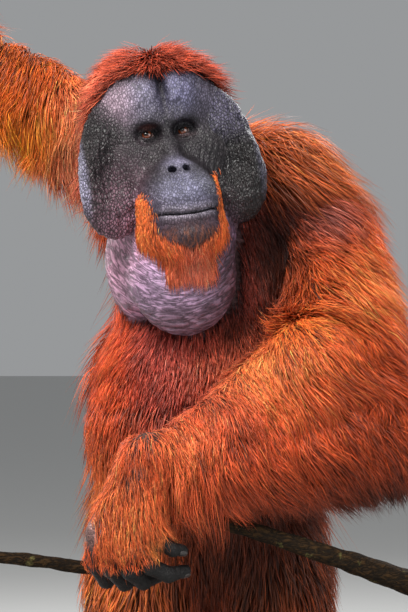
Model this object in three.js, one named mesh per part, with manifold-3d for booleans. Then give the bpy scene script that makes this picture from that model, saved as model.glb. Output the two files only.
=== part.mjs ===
// A life-size, still model of a standing male orangutan with full cheek flanges, holding two cut branches.
// Its long coat is smooth here: each coated form reaches out to the tips of the hair.
// Millimetres, +Z up, the face towards -Y. The origin is the centre of the stand's underside.
import * as THREE from "three";
import { mergeVertices } from "three/addons/utils/BufferGeometryUtils.js";
import Module from "manifold-3d";

const wasm = await Module();
wasm.setup();

// Driving sizes
const GAP = 0.3; // between nodes that meet
const BASE = { width: 800, depth: 640, thick: 20, corner: 60 };
const FLOOR_Z = BASE.thick + GAP; // the level that the feet stand on
const ROD = { x: 345, y: -240, radius: 12 };

const JOINTS = {
  shoulderL: V(192, 25, 1042),
  elbowL: V(270, -165, 738),
  wristL: V(-86, -290, 700),
  shoulderR: V(-150, 40, 1212),
  elbowR: V(-440, 85, 1402),
  wristR: V(-425, 45, 1790),
  hipL: V(96, 12, 545),
  kneeL: V(150, -92, 322),
  ankleL: V(132, 12, 100),
  hipR: V(-84, 12, 545),
  kneeR: V(-128, -92, 322),
  ankleR: V(-126, 12, 100),
};
const EYES = V(-62, -175, 1226); // the point midway between the eyes
const HEAD_TURN = { pitch: -8, roll: -8, yaw: 10 }; // degrees
const WAIST_Z = 830; // where the chest meets the belly

const COAT = {
  crown: 34,
  chest: 30,
  back: 60,
  upperArmL: 64,
  upperArmR: 20,
  foreArm: 44,
  hand: 14,
  thigh: 32,
  shin: 30,
};
// The coat is this much longer where it hangs below a limb
const HANG = { upperArmL: 20, upperArmR: 44, foreArmL: 62, foreArmR: 44, thigh: 16, shin: 10 };

// Radii of the flesh, from the root of each form to its end
const ARM_RADII = { L: [90, 62], R: [62, 36] };
const DIGIT_RADII = {
  thumb: [15, 13, 11, 9],
  finger: [16, 14, 12.5, 10],
  toe: [14, 13, 12, 9],
  bigToe: [18, 15, 10],
};
const UP = V(0, 0, 1);
const DOWN = V(0, 0, -1);

// Small helpers
function V(x, y, z) {
  return new THREE.Vector3(x, y, z);
}
const rad = THREE.MathUtils.degToRad;
const lerp = THREE.MathUtils.lerp;

// Fields: functions that give the distance from a point to a smooth surface
function roundCone(a, b, ra, rb) {
  const ba = b.clone().sub(a);
  const l2 = ba.dot(ba);
  const rr = ra - rb;
  const a2 = l2 - rr * rr;
  const pa = V(0, 0, 0);
  return (p) => {
    pa.copy(p).sub(a);
    const y = pa.dot(ba) / l2;
    const z = y - 1;
    const x2 = pa.multiplyScalar(l2).addScaledVector(ba, -y * l2).lengthSq();
    const y2 = y * y * l2 * l2 * l2;
    const z2 = z * z * l2 * l2 * l2;
    const k = Math.sign(rr) * rr * rr * x2;
    if (Math.sign(z) * a2 * z2 > k) return Math.sqrt(x2 + z2) / l2 - rb;
    if (Math.sign(y) * a2 * y2 < k) return Math.sqrt(x2 + y2) / l2 - ra;
    return (Math.sqrt((x2 * a2) / l2) / l2) + y * rr - ra;
  };
}

function egg(centre, radii, turn = null) {
  const back = turn ? turn.clone().invert() : null;
  const q = V(0, 0, 0);
  const s = V(0, 0, 0);
  return (p) => {
    q.copy(p).sub(centre);
    if (back) q.applyQuaternion(back);
    s.set(q.x / radii.x, q.y / radii.y, q.z / radii.z);
    const k0 = s.length();
    s.set(q.x / radii.x ** 2, q.y / radii.y ** 2, q.z / radii.z ** 2);
    const k1 = s.length();
    return k1 < 1e-9 ? -Math.min(radii.x, radii.y, radii.z) : (k0 * (k0 - 1)) / k1;
  };
}

function blend(k, ...fields) {
  return (p) => {
    let d = fields[0](p);
    for (let i = 1; i < fields.length; i++) {
      const e = fields[i](p);
      const h = Math.max(k - Math.abs(d - e), 0) / k;
      d = Math.min(d, e) - h * h * k * 0.25;
    }
    return d;
  };
}

function carve(k, field, tool) {
  return (p) => {
    const d = field(p);
    const e = -tool(p);
    const h = Math.max(k - Math.abs(d - e), 0) / k;
    return Math.max(d, e) + h * h * k * 0.25;
  };
}

const raised = (field, depth) => (p) => field(p) - depth(p);

function turned(degX, degY, degZ) {
  return new THREE.Quaternion().setFromEuler(new THREE.Euler(rad(degX), rad(degY), rad(degZ), "ZXY"));
}

// How far the surface is from a point inside it, along a direction
function reach(field, from, direction, most) {
  let near = 0;
  let far = most;
  const p = V(0, 0, 0);
  const stride = most / 24;
  for (let r = stride; r <= most; r += stride) {
    if (field(p.copy(from).addScaledVector(direction, r)) > 0) {
      far = r;
      break;
    }
    near = r;
  }
  for (let i = 0; i < 18; i++) {
    const middle = (near + far) / 2;
    if (field(p.copy(from).addScaledVector(direction, middle)) > 0) far = middle;
    else near = middle;
  }
  return (near + far) / 2;
}

// Meshes
function geometryOf(points, faces) {
  return new THREE.BufferGeometry()
    .setAttribute("position", new THREE.Float32BufferAttribute(points.flatMap((p) => [p.x, p.y, p.z]), 3))
    .setIndex(faces);
}

// Rings of equal count joined into a closed skin, with a point at each end
function skinOf(rings, first, last) {
  const sides = rings[0].length;
  const points = [...rings.flat(), first, last];
  const a = rings.length * sides;
  const faces = [];
  for (let i = 0; i < rings.length - 1; i++) {
    for (let j = 0; j < sides; j++) {
      const k = (j + 1) % sides;
      const [p, q, r, s] = [i * sides + j, i * sides + k, (i + 1) * sides + j, (i + 1) * sides + k];
      faces.push(p, q, s, p, s, r);
    }
  }
  for (let j = 0; j < sides; j++) {
    const k = (j + 1) % sides;
    const top = (rings.length - 1) * sides;
    faces.push(a, k, j, a + 1, top + j, top + k);
  }
  return geometryOf(points, faces);
}

// Two directions across a line, the first as near as can be to a wanted one
function across(along, wanted) {
  const u = wanted.clone().addScaledVector(along, -wanted.dot(along)).normalize();
  return [u, V(0, 0, 0).crossVectors(along, u)];
}

// A skin round a straight line, each ring laid on the field's surface
function wrap(field, from, to, stations, sides, most, wanted = V(1, 0, 0)) {
  const along = to.clone().sub(from).normalize();
  const [u, w] = across(along, wanted);
  const rings = stations.map((t) => {
    const c = from.clone().lerp(to, t);
    return Array.from({ length: sides }, (_, j) => {
      const angle = (2 * Math.PI * j) / sides;
      const d = u.clone().multiplyScalar(Math.cos(angle)).addScaledVector(w, Math.sin(angle));
      return c.clone().addScaledVector(d, reach(field, c, d, most));
    });
  });
  const start = from.clone().lerp(to, stations[0]);
  const end = from.clone().lerp(to, stations[stations.length - 1]);
  const back = reach(field, start, along.clone().negate(), most);
  const on = reach(field, end, along, most);
  return skinOf(rings, start.addScaledVector(along, -back), end.addScaledVector(along, on));
}

const evenly = (count, from = 0, to = 1) =>
  Array.from({ length: count }, (_, i) => lerp(from, to, i / (count - 1)));

// A ball whose every point is moved out to the field's surface
function puffed(field, centre, detail, most) {
  const g = new THREE.IcosahedronGeometry(1, detail);
  g.deleteAttribute("normal");
  g.deleteAttribute("uv");
  const m = mergeVertices(g, 1e-4);
  const position = m.getAttribute("position");
  for (let i = 0; i < position.count; i++) {
    const d = V(position.getX(i), position.getY(i), position.getZ(i)).normalize();
    const p = centre.clone().addScaledVector(d, reach(field, centre, d, most));
    position.setXYZ(i, p.x, p.y, p.z);
  }
  return m;
}

// A tapering tube with round ends along a smooth curve through some points
function tube(points, radii, sides, steps) {
  const curve = new THREE.CatmullRomCurve3(points, false, "centripetal");
  const radiusAt = (t) => {
    const x = t * (radii.length - 1);
    const i = Math.min(Math.floor(x), radii.length - 2);
    return lerp(radii[i], radii[i + 1], THREE.MathUtils.smoothstep(x - i, 0, 1));
  };
  const frames = curve.computeFrenetFrames(steps, false);
  const rings = [];
  for (let i = 0; i <= steps; i++) {
    const t = i / steps;
    const c = curve.getPointAt(t);
    const [u, w] = across(frames.tangents[i], UP);
    const r = radiusAt(curve.getUtoTmapping(t));
    rings.push(
      Array.from({ length: sides }, (_, j) => {
        const angle = (2 * Math.PI * j) / sides;
        return c
          .clone()
          .addScaledVector(u, r * Math.cos(angle))
          .addScaledVector(w, r * Math.sin(angle));
      }),
    );
  }
  const [t0, t1] = [frames.tangents[0], frames.tangents[steps]];
  const cap = 0.6;
  const shrink = (ring, centre, tangent, r) =>
    ring.map((p) => p.clone().lerp(centre, 0.35).addScaledVector(tangent, r * cap * 0.75));
  const first = curve.getPointAt(0);
  const last = curve.getPointAt(1);
  const r0 = radii[0];
  const r1 = radii[radii.length - 1];
  rings.unshift(shrink(rings[0], first, t0, -r0));
  rings.push(shrink(rings[rings.length - 1], last, t1, r1));
  first.addScaledVector(t0, -r0 * cap);
  last.addScaledVector(t1, r1 * cap);
  return skinOf(rings, first, last);
}

// Solids
function solid(geometry, matrix = null) {
  const g = geometry.clone();
  g.deleteAttribute("normal");
  g.deleteAttribute("uv");
  if (matrix) g.applyMatrix4(matrix);
  const m = mergeVertices(g, 1e-3);
  return new wasm.Manifold(
    new wasm.Mesh({
      numProp: 3,
      vertProperties: new Float32Array(m.getAttribute("position").array),
      triVerts: new Uint32Array(m.index.array),
    }),
  );
}

const joined = (list) => list.reduce((a, b) => a.add(b));
const largest = (s) => s.decompose().reduce((a, b) => (b.volume() > a.volume() ? b : a));

function geometryFrom(s) {
  const mesh = s.getMesh();
  const points = new Float32Array(mesh.numVert * 3);
  for (let i = 0; i < mesh.numVert; i++) {
    points.set(mesh.vertProperties.subarray(i * mesh.numProp, i * mesh.numProp + 3), i * 3);
  }
  return new THREE.BufferGeometry()
    .setAttribute("position", new THREE.BufferAttribute(points, 3))
    .setIndex(new THREE.BufferAttribute(new Uint32Array(mesh.triVerts), 1));
}

// A block that fills all space on one side of a plane
function beyond(point, normal, size = 1600) {
  const q = new THREE.Quaternion().setFromUnitVectors(UP, normal.clone().normalize());
  const centre = point.clone().addScaledVector(normal.clone().normalize(), size / 2);
  return solid(new THREE.BoxGeometry(size, size, size), new THREE.Matrix4().compose(centre, q, V(1, 1, 1)));
}

// The same solid with every face moved out by at least some depth, to cut a neighbour clear of it
function grown(s, by) {
  const m = mergeVertices(geometryFrom(s), 1e-3);
  const position = m.getAttribute("position");
  const facing = Array.from({ length: position.count }, () => []);
  const face = new THREE.Triangle();
  for (let i = 0; i < m.index.count; i += 3) {
    const corners = [0, 1, 2].map((k) => m.index.getX(i + k));
    face.setFromAttributeAndIndices(position, ...corners);
    if (face.getArea() < 1e-7) continue;
    const n = face.getNormal(V(0, 0, 0));
    for (const c of corners) if (facing[c].every((f) => f.dot(n) < 0.995)) facing[c].push(n);
  }
  facing.forEach((normals, i) => {
    if (!normals.length) return;
    const out = normals.reduce((sum, n) => sum.add(n), V(0, 0, 0)).normalize();
    const least = () => normals.reduce((a, n) => (n.dot(out) < a.dot(out) ? n : a));
    for (let k = 0; k < 8; k++) out.addScaledVector(least(), 0.25).normalize();
    const step = by / Math.max(0.25, least().dot(out));
    position.setXYZ(
      i,
      position.getX(i) + out.x * step,
      position.getY(i) + out.y * step,
      position.getZ(i) + out.z * step,
    );
  });
  return solid(m);
}

// Head shape, in its own frame: x to the animal's left, y back, z up, from midway between the eyes
const HEAD = {
  eyeApart: 30,
  eyeBack: 12,
  eyeBall: 12.5,
  noseZ: -72,
  mouthZ: -150,
  mouthHalf: 48,
};
const headPlace = new THREE.Matrix4().compose(
  EYES,
  turned(HEAD_TURN.pitch, HEAD_TURN.roll, HEAD_TURN.yaw),
  V(1, 1, 1),
);
const bothSides = (make) => [make(-1), make(1)];

const skull = blend(
  30,
  egg(V(0, 74, 44), V(92, 92, 102)),
  ...bothSides((s) => egg(V(s * 42, 30, 58), V(56, 44, 56))),
  egg(V(0, 60, -60), V(80, 80, 90)),
);
const brow = roundCone(V(-50, 4, 19), V(50, 4, 19), 17, 17);
const cheeks = bothSides((s) => egg(V(s * 58, 26, -38), V(46, 36, 62)));
const nose = blend(
  14,
  roundCone(V(0, 2, -4), V(0, -32, HEAD.noseZ + 14), 13, 13),
  ...bothSides((s) => egg(V(s * 13, -42, HEAD.noseZ), V(13, 14, 11))),
);
const muzzle = blend(
  26,
  egg(V(0, -14, -114), V(66, 64, 64)),
  egg(V(0, -46, -124), V(52, 42, 36)),
  egg(V(0, -34, -172), V(54, 46, 38)),
  egg(V(0, 10, -162), V(68, 66, 48)),
);
const sockets = bothSides((s) => egg(V(s * HEAD.eyeApart, -8, -1), V(20, 20, 15)));
const groove = roundCone(V(0, -24, 48), V(0, -6, 100), 5, 7);
const face = carve(10, blend(16, skull, brow, ...cheeks), groove);
const headField = carve(10, carve(10, blend(14, blend(22, face, muzzle), nose), sockets[0]), sockets[1]);

// Cheek flanges: broad dished plates at each side of the face
const flangeField = (s) => {
  const turn = turned(4, s * -8, s * -12);
  const plate = blend(
    30,
    egg(V(s * 88, 24, -18), V(56, 25, 90), turn),
    egg(V(s * 97, 14, -84), V(58, 25, 78), turn),
  );
  const dish = egg(V(s * 90, -60, -52), V(44, 64, 84), turn);
  return carve(20, plate, dish);
};

// Neck, throat pouch and trunk
const neckField = blend(
  40,
  roundCone(V(0, 40, 1090), V(-50, -40, 1190), 112, 88),
  roundCone(V(-20, -30, 1060), V(-46, -90, 1140), 92, 74),
);
const pouchField = blend(
  30,
  egg(V(-33, -166, 992), V(86, 66, 97)),
  egg(V(-40, -138, 1062), V(92, 74, 64)),
);
const trunkField = blend(
  60,
  egg(V(16, 15, 965), V(136, 126, 190)),
  egg(V(4, -8, 815), V(172, 142, 150)),
  egg(V(4, -24, 722), V(182, 150, 170)),
  egg(V(8, 15, 570), V(160, 122, 140)),
  roundCone(V(-80, 40, 1122), V(125, 45, 1146), 76, 84),
);

// A coat's depth round a limb, longer where it hangs below the limb's line
function coatRound(from, to, along, extra) {
  const line = new THREE.Line3(from, to);
  const on = V(0, 0, 0);
  return (p) => {
    const t = line.closestPointToPointParameter(p, true);
    line.at(t, on);
    const out = p.distanceTo(on);
    const down = out < 1 ? 0 : Math.max(0, (on.z - p.z) / out);
    return along(t) + extra * down * down;
  };
}

// Limbs: the joints of each, and the coated form of its two lengths
function armForms(side) {
  const joints = ["shoulder", "elbow", "wrist"].map((name) => JOINTS[name + side]);
  const [shoulder, elbow, wrist] = joints;
  const bone = elbow.clone().sub(shoulder).normalize();
  const along = new THREE.Quaternion().setFromUnitVectors(UP, bone);
  const inner = side === "L" ? V(-0.7, -0.7, 0.1) : V(0.3, -0.9, 0.1);
  const [top, low] = ARM_RADII[side];
  const middle = shoulder.clone().lerp(elbow, 0.45).addScaledVector(inner, 14);
  const upper = blend(
    40,
    roundCone(shoulder, elbow, top, low),
    egg(middle, V(top * 0.8, top * 0.8, 120), along),
  );
  const fore = [
    roundCone(elbow, wrist, low, 34),
    roundCone(elbow.clone().lerp(wrist, 0.15), elbow.clone().lerp(wrist, 0.5), low, 50),
  ];
  if (side === "L") fore.push(roundCone(V(186, -150, 850), V(-10, -240, 722), 72, 44));
  const thin = (t) => lerp(COAT.foreArm, COAT.hand, THREE.MathUtils.smoothstep(t, 0.6, 1));
  const upperCoat = coatRound(shoulder, elbow, () => COAT[`upperArm${side}`], HANG[`upperArm${side}`]);
  const foreCoat = coatRound(elbow, wrist, thin, HANG[`foreArm${side}`]);
  return { joints, forms: [raised(upper, upperCoat), raised(blend(40, ...fore), foreCoat)] };
}

function legForms(side) {
  const joints = ["hip", "knee", "ankle"].map((name) => JOINTS[name + side]);
  const [hip, knee, ankle] = joints;
  const calf = [0.2, 0.55].map((t) => knee.clone().lerp(ankle, t).add(V(0, 14, 0)));
  const thigh = blend(40, roundCone(hip, knee, 94, 58), egg(hip.clone().lerp(knee, 0.35), V(82, 84, 110)));
  const shin = blend(30, roundCone(knee, ankle, 56, 35), roundCone(...calf, 46, 38));
  const thighCoat = coatRound(hip, knee, () => COAT.thigh, HANG.thigh);
  const shinCoat = coatRound(knee, ankle, () => COAT.shin, HANG.shin);
  return { joints, forms: [raised(thigh, thighCoat), raised(shin, shinCoat)] };
}

// Coated forms of the head, neck and trunk
const crownDepth = (q) => {
  const back = THREE.MathUtils.smoothstep(q.y, 20, 90);
  const top = THREE.MathUtils.smoothstep(q.z + q.y * 0.5, 84, 124);
  const byEar = 1 - THREE.MathUtils.smoothstep(Math.hypot(Math.abs(q.x) - 96, q.y - 82, q.z), 24, 52);
  return COAT.crown * Math.max(back, top) * (1 - byEar);
};
const headForm = raised(headField, crownDepth);
const trunkForm = raised(trunkField, (p) =>
  lerp(COAT.chest, COAT.back, THREE.MathUtils.smoothstep(p.y, -40, 70)),
);
const neckForm = raised(neckField, (p) => COAT.back * THREE.MathUtils.smoothstep(p.y, -70, 40));

// Hands: the palm is several rays side by side, and each digit curls round its branch
const palmField = ({ wrist, knuckles, palm }) =>
  blend(18, ...knuckles.map((k) => roundCone(wrist, k, ...palm)));
const HANDS = {
  left: {
    wrist: JOINTS.wristL,
    palm: [33, 20],
    knuckles: [V(-96, -318, 562), V(-120, -322, 562), V(-145, -314, 570), V(-168, -300, 584)],
    thumb: [V(-92, -304, 594), V(-70, -318, 572), V(-50, -318, 560), V(-34, -310, 558)],
    fingers: [
      [V(-96, -316, 560), V(-84, -324, 534), V(-56, -316, 520), V(-30, -298, 524)],
      [V(-121, -320, 560), V(-116, -320, 526), V(-96, -294, 506), V(-74, -262, 512)],
      [V(-146, -312, 568), V(-146, -308, 528), V(-126, -276, 502), V(-100, -246, 514)],
      [V(-169, -298, 582), V(-174, -288, 538), V(-156, -256, 504), V(-132, -230, 518)],
    ],
  },
  right: {
    wrist: JOINTS.wristR,
    palm: [30, 19],
    knuckles: [-36, -12, 12, 36].map((x) => V(-425 + x, 50, 1896)),
    thumb: [V(-392, 44, 1826), V(-386, 8, 1838), V(-388, -28, 1856), V(-394, -36, 1880)],
    fingers: [-36, -12, 12, 36].map((x) => [
      V(-425 + x, 48, 1896),
      V(-425 + x * 1.05, 18, 1921),
      V(-425 + x * 1.05, -20, 1918),
      V(-425 + x * 1.02, -38, 1892),
      V(-425 + x, -30, 1866),
    ]),
  },
};

// Nodes: each one is cut clear of the ones before it
const FINISHES = {
  coat: { color: 0xa8502a, roughness: 0.8 },
  face: { color: 0x4f494c, roughness: 0.6 },
  throat: { color: 0x8f7d8b, roughness: 0.6 },
  eye: { color: 0x5a2e12, roughness: 0.15 },
  skin: { color: 0x231f1f, roughness: 0.6 },
  wood: { color: 0x4f4a3c, roughness: 0.9 },
  stand: { color: 0x2d2d2f, roughness: 0.5, metalness: 0.5 },
};
const nodes = [];

function addNode(name, kind, made) {
  const box = made.boundingBox();
  const near = (b) => [0, 1, 2].every((i) => b.min[i] < box.max[i] && b.max[i] > box.min[i]);
  let s = made;
  for (const other of nodes) if (near(other.box)) s = s.subtract(other.cutter);
  s = largest(s);
  const cutter = grown(s, GAP * 1.3);
  nodes.push({ name, kind, solid: s, cutter, box: cutter.boundingBox() });
}

// Stand and perches
function roundedPlate({ width, depth, thick, corner }) {
  const [x, y] = [width / 2 - corner, depth / 2 - corner];
  const outline = new THREE.Shape();
  outline.absarc(x, y, corner, 0, Math.PI / 2);
  outline.absarc(-x, y, corner, Math.PI / 2, Math.PI);
  outline.absarc(-x, -y, corner, Math.PI, 1.5 * Math.PI);
  outline.absarc(x, -y, corner, 1.5 * Math.PI, 2 * Math.PI);
  return new THREE.ExtrudeGeometry(outline, { depth: thick, bevelEnabled: false, curveSegments: 5 });
}

const LOWER_PERCH = {
  line: [
    V(-350, -288, 548),
    V(-250, -274, 536),
    V(-172, -262, 526),
    V(-108, -256, 560),
    V(-46, -250, 610),
    V(30, -246, 598),
    V(110, -244, 573),
    V(230, -242, 534),
    V(330, -240, 499),
    V(410, -238, 470),
  ],
  radii: [9.5, 10, 10.5, 12, 14, 13, 14, 17, 20, 21],
  stub: [V(-46, -248, 604), V(-60, -238, 636), V(-76, -232, 658)],
  stubRadii: [13, 11, 10],
};
const UPPER_PERCH = {
  line: [V(-590, 8, 1866), V(-500, -2, 1880), V(-425, 0, 1885), V(-340, 4, 1882), V(-262, -6, 1872)],
  radii: [21, 22, 22, 21, 20],
};

addNode("stand_base", "stand", solid(roundedPlate(BASE)));
addNode(
  "perch_lower",
  "wood",
  solid(tube(LOWER_PERCH.line, LOWER_PERCH.radii, 8, 18)).add(
    solid(tube(LOWER_PERCH.stub, LOWER_PERCH.stubRadii, 7, 3)),
  ),
);
addNode("perch_upper", "wood", solid(tube(UPPER_PERCH.line, UPPER_PERCH.radii, 10, 6)));
const rodTop = LOWER_PERCH.line[8].z;
const rod = new THREE.CylinderGeometry(ROD.radius, ROD.radius, rodTop - FLOOR_Z, 14)
  .rotateX(Math.PI / 2)
  .translate(ROD.x, ROD.y, (rodTop + FLOOR_Z) / 2);
addNode("stand_rod", "stand", solid(rod));
// Head, with its lids, nostrils and lips
const eyeAt = (s) => V(s * HEAD.eyeApart, HEAD.eyeBack, 0);
bothSides((s) => {
  const ball = new THREE.IcosahedronGeometry(HEAD.eyeBall, 1).translate(...eyeAt(s));
  addNode(`eye_${s > 0 ? "left" : "right"}`, "eye", solid(ball, headPlace));
});

const onFace = (x, z, out) => V(x, 60 - reach(headField, V(x, 60, z), V(0, -1, 0), 220) - out, z);
const mouthLine = (drop, out, half) =>
  evenly(7, -1, 1).map((t) => onFace(t * half, HEAD.mouthZ + drop + 8 * t * t, out));

function lids(s) {
  const rim = (lift, wide, forward) =>
    evenly(7, -1, 1).map((t) =>
      eyeAt(s).add(V(t * wide, -forward + 6 * t * t, lift * (1 - t * t) - Math.sign(lift) * 1.5)),
    );
  return [tube(rim(7.5, 14, 10.5), [2, 4.2, 4.2, 2], 5, 6), tube(rim(-7, 14, 10), [2, 3.6, 3.6, 2], 5, 6)];
}

const nostril = (s) => V(s * 11, -56, HEAD.noseZ - 4);
const headPieces = [
  puffed(headForm, V(0, 30, -40), 7, 320),
  tube(mouthLine(5.5, -2.5, HEAD.mouthHalf - 2), [2, 5.5, 6, 5.5, 2], 5, 10),
  tube(mouthLine(-6, -2.5, HEAD.mouthHalf - 4), [2, 6, 7, 6, 2], 5, 10),
  ...bothSides(lids).flat(),
];
const headCuts = [
  tube(mouthLine(0, 1, HEAD.mouthHalf), [1.2, 2.6, 2.6, 1.2], 4, 10),
  ...bothSides((s) => puffed(egg(nostril(s), V(7, 15, 9)), nostril(s), 1, 30)),
];
let headSolid = joined(headPieces.map((g) => solid(g, headPlace)));
for (const cut of headCuts) headSolid = headSolid.subtract(solid(cut, headPlace));
addNode("head", "face", headSolid);

bothSides((s) => {
  const side = s > 0 ? "left" : "right";
  const flange = puffed(flangeField(s), V(s * 96, 26, -46), 4, 220);
  addNode(`cheek_flange_${side}`, "face", solid(flange, headPlace));
  const cup = carve(3, egg(V(s * 96, 84, 0), V(12, 17, 24)), egg(V(s * 107, 76, 2), V(9, 11, 16)));
  addNode(`ear_${side}`, "face", solid(puffed(cup, V(s * 93, 90, 0), 2, 60), headPlace));
});

// Throat pouch, chest and neck
const SPINE = { from: V(0, 5, 440), to: V(76, 40, 1232) };
const trunk = solid(wrap(trunkForm, SPINE.from, SPINE.to, evenly(13, 0.02, 0.985), 18, 420));
const above = beyond(V(0, 0, WAIST_Z + GAP / 2), UP);
const below = beyond(V(0, 0, WAIST_Z - GAP / 2), DOWN);
addNode("throat_pouch", "throat", solid(puffed(pouchField, V(-40, -155, 1030), 4, 280)));
addNode("chest_and_back", "coat", trunk.intersect(above));
addNode("neck", "throat", solid(puffed(neckForm, V(-22, 0, 1130), 4, 300)));

// A limb is two lengths that meet at the joint's bisecting plane
function limbPair(names, { joints: [a, b, c], forms }, stations, wanted) {
  const bisector = a.clone().sub(b).normalize().sub(c.clone().sub(b).normalize()).normalize();
  const ends = [
    [a, bisector],
    [c, bisector.clone().negate()],
  ];
  ends.forEach(([start, side], i) => {
    const length = wrap(forms[i], start, start.clone().lerp(b, 1.12), stations[i], 12, 300, wanted);
    const half = beyond(b.clone().addScaledVector(side, GAP / 2), side);
    addNode(names[i], "coat", solid(length).intersect(half));
  });
}

// Arms, then the belly, which the left forearm lies across
const armStations = [[-0.12, ...evenly(7, 0.04, 1)], evenly(7, 0, 1)];
limbPair(["upper_arm_left", "forearm_left"], armForms("L"), armStations, UP);
limbPair(["upper_arm_right", "forearm_right"], armForms("R"), armStations, V(1, 0, 0));
addNode("belly_and_hips", "coat", trunk.intersect(below));

// Hands and their digits
for (const [word, hand] of Object.entries(HANDS)) {
  const centre = hand.wrist.clone().lerp(hand.knuckles[1].clone().lerp(hand.knuckles[2], 0.5), 0.55);
  addNode(`hand_${word}`, "coat", solid(puffed(palmField(hand), centre, 3, 140)));
  addNode(`thumb_${word}`, "skin", solid(tube(hand.thumb, DIGIT_RADII.thumb, 7, 5)));
  hand.fingers.forEach((line, i) => {
    addNode(`finger_${word}_${i + 1}`, "skin", solid(tube(line, DIGIT_RADII.finger, 7, 6)));
  });
}

// Legs and feet
function footOf(ankle, s) {
  const { x, y } = ankle;
  const body = blend(
    24,
    roundCone(V(x, y + 8, 104), V(x + s * 8, y - 76, 44), 38, 27),
    roundCone(V(x - s * 4, y + 62, 50), V(x + s * 6, y - 70, 38), 31, 28),
    egg(V(x, y - 30, 46), V(40, 70, 30)),
  );
  const toes = [-30, -10, 10, 30].map((dx, i) => {
    const long = [104, 118, 114, 98][i];
    const [tx, ty] = [x + s * (10 + dx), y - 84];
    const line = [[0, 0, 42], [0.1, 0.4, 50], [0.15, 0.8, 38], [0.15, 1, 27]];
    return tube(line.map(([out, on, z]) => V(tx + dx * out, ty - long * on, z)), DIGIT_RADII.toe, 7, 4);
  });
  const bigToe = [V(x - s * 24, y - 12, 38), V(x - s * 46, y - 46, 40), V(x - s * 56, y - 84, 30)];
  const pieces = [puffed(body, V(x, y - 10, 62), 3, 160), ...toes, tube(bigToe, DIGIT_RADII.bigToe, 7, 4)];
  return joined(pieces.map((g) => solid(g))).subtract(beyond(V(0, 0, FLOOR_Z), DOWN));
}

for (const [side, s] of [["L", 1], ["R", -1]]) {
  const word = s > 0 ? "left" : "right";
  const leg = legForms(side);
  addNode(`foot_${word}`, "skin", footOf(leg.joints[2], s));
  limbPair([`thigh_${word}`, `shin_${word}`], leg, [evenly(6, -0.15, 1), evenly(6, 0, 1)], V(1, 0, 0));
}

// Assembly: each region is a group placed at its own joint, and each mesh sits in its region
const REGIONS = [
  { at: EYES, holds: /^(head|eye|ear|cheek)/ },
  { at: V(-33, -120, 1060), holds: /^(neck|throat)/ },
  { at: V(0, 0, WAIST_Z), holds: /^(chest|belly)/ },
  { at: JOINTS.shoulderL, holds: /^(upper_arm|forearm)_left/ },
  { at: JOINTS.shoulderR, holds: /^(upper_arm|forearm)_right/ },
  { at: JOINTS.wristL, holds: /^(hand|thumb|finger)_left/ },
  { at: JOINTS.wristR, holds: /^(hand|thumb|finger)_right/ },
  { at: JOINTS.hipL, holds: /^(thigh|shin|foot)_left/ },
  { at: JOINTS.hipR, holds: /^(thigh|shin|foot)_right/ },
  { at: V(0, 0, 0), holds: /^(stand|perch)/ },
];
const model = new THREE.Group();
for (const { at, holds } of REGIONS) {
  const region = new THREE.Group();
  region.position.copy(at);
  for (const node of nodes.filter(({ name }) => holds.test(name))) {
    const geometry = geometryFrom(node.solid).translate(-at.x, -at.y, -at.z);
    const material = new THREE.MeshStandardMaterial(FINISHES[node.kind]);
    const mesh = new THREE.Mesh(geometry, material);
    mesh.name = node.name;
    region.add(mesh);
  }
  model.add(region);
}

export default model;
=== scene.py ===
"""A life-size still model of a standing male orangutan: its skin, eyes, nails, coat, branches and stand."""

import logging
import math
from dataclasses import dataclass, field, replace
from enum import Enum
from typing import Callable, Iterable, Sequence

import bmesh
import bpy
import numpy as np
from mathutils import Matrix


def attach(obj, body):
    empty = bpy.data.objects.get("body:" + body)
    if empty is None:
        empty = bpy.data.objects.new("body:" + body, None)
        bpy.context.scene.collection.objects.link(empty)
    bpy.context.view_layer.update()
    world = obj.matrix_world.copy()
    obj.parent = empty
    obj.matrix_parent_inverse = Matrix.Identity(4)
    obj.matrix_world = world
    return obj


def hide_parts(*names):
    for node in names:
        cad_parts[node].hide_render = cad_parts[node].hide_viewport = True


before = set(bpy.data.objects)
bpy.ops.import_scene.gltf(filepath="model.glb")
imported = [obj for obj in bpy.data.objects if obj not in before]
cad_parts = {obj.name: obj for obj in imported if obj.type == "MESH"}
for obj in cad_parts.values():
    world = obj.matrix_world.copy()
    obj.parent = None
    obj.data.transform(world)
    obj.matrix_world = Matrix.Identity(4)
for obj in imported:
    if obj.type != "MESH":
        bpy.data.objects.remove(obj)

import openvdb
from mathutils import Matrix, Vector
from mathutils.kdtree import KDTree

logging.basicConfig(level=logging.INFO, format="%(message)s")
LOG = logging.getLogger("orangutan")

MM = 0.001
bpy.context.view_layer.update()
Array = np.ndarray
Point = Sequence[float]


# Numbers on arrays of points, in millimetres

def unit(v: Array) -> Array:
    """The same directions, each of length one."""
    return v / np.maximum(np.linalg.norm(v, axis=-1, keepdims=True), 1e-9)


def ramp(x: Array, low: float, high: float) -> Array:
    """A smooth step from 0 at low to 1 at high."""
    t = np.clip((x - low) / (high - low), 0.0, 1.0)
    return t * t * (3.0 - 2.0 * t)


def mix(a: Array | float, b: Array | float, t: Array) -> Array:
    """a where t is 0, b where t is 1."""
    return a + (b - a) * t


def drift(p: Array, size: float, seed: int) -> Array:
    """A smooth random value from about -1 to 1 at each point.

    Args:
        p: points, one to a row.
        size: how far apart its hills lie.
        seed: which of the patterns it is.

    Returns:
        One value for each point.
    """
    rng = np.random.default_rng(seed)
    waves = unit(rng.normal(size=(7, 3))) * rng.uniform(0.6, 1.6, (7, 1)) * (2 * math.pi / size)
    return np.sin(p @ waves.T + rng.uniform(0, 2 * math.pi, 7)).sum(axis=1) / 3.2


def turns(at: Array, apart: float) -> Array:
    """The angle of a wave whose crests lie some distance apart."""
    return 2 * math.pi * at / apart


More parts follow.
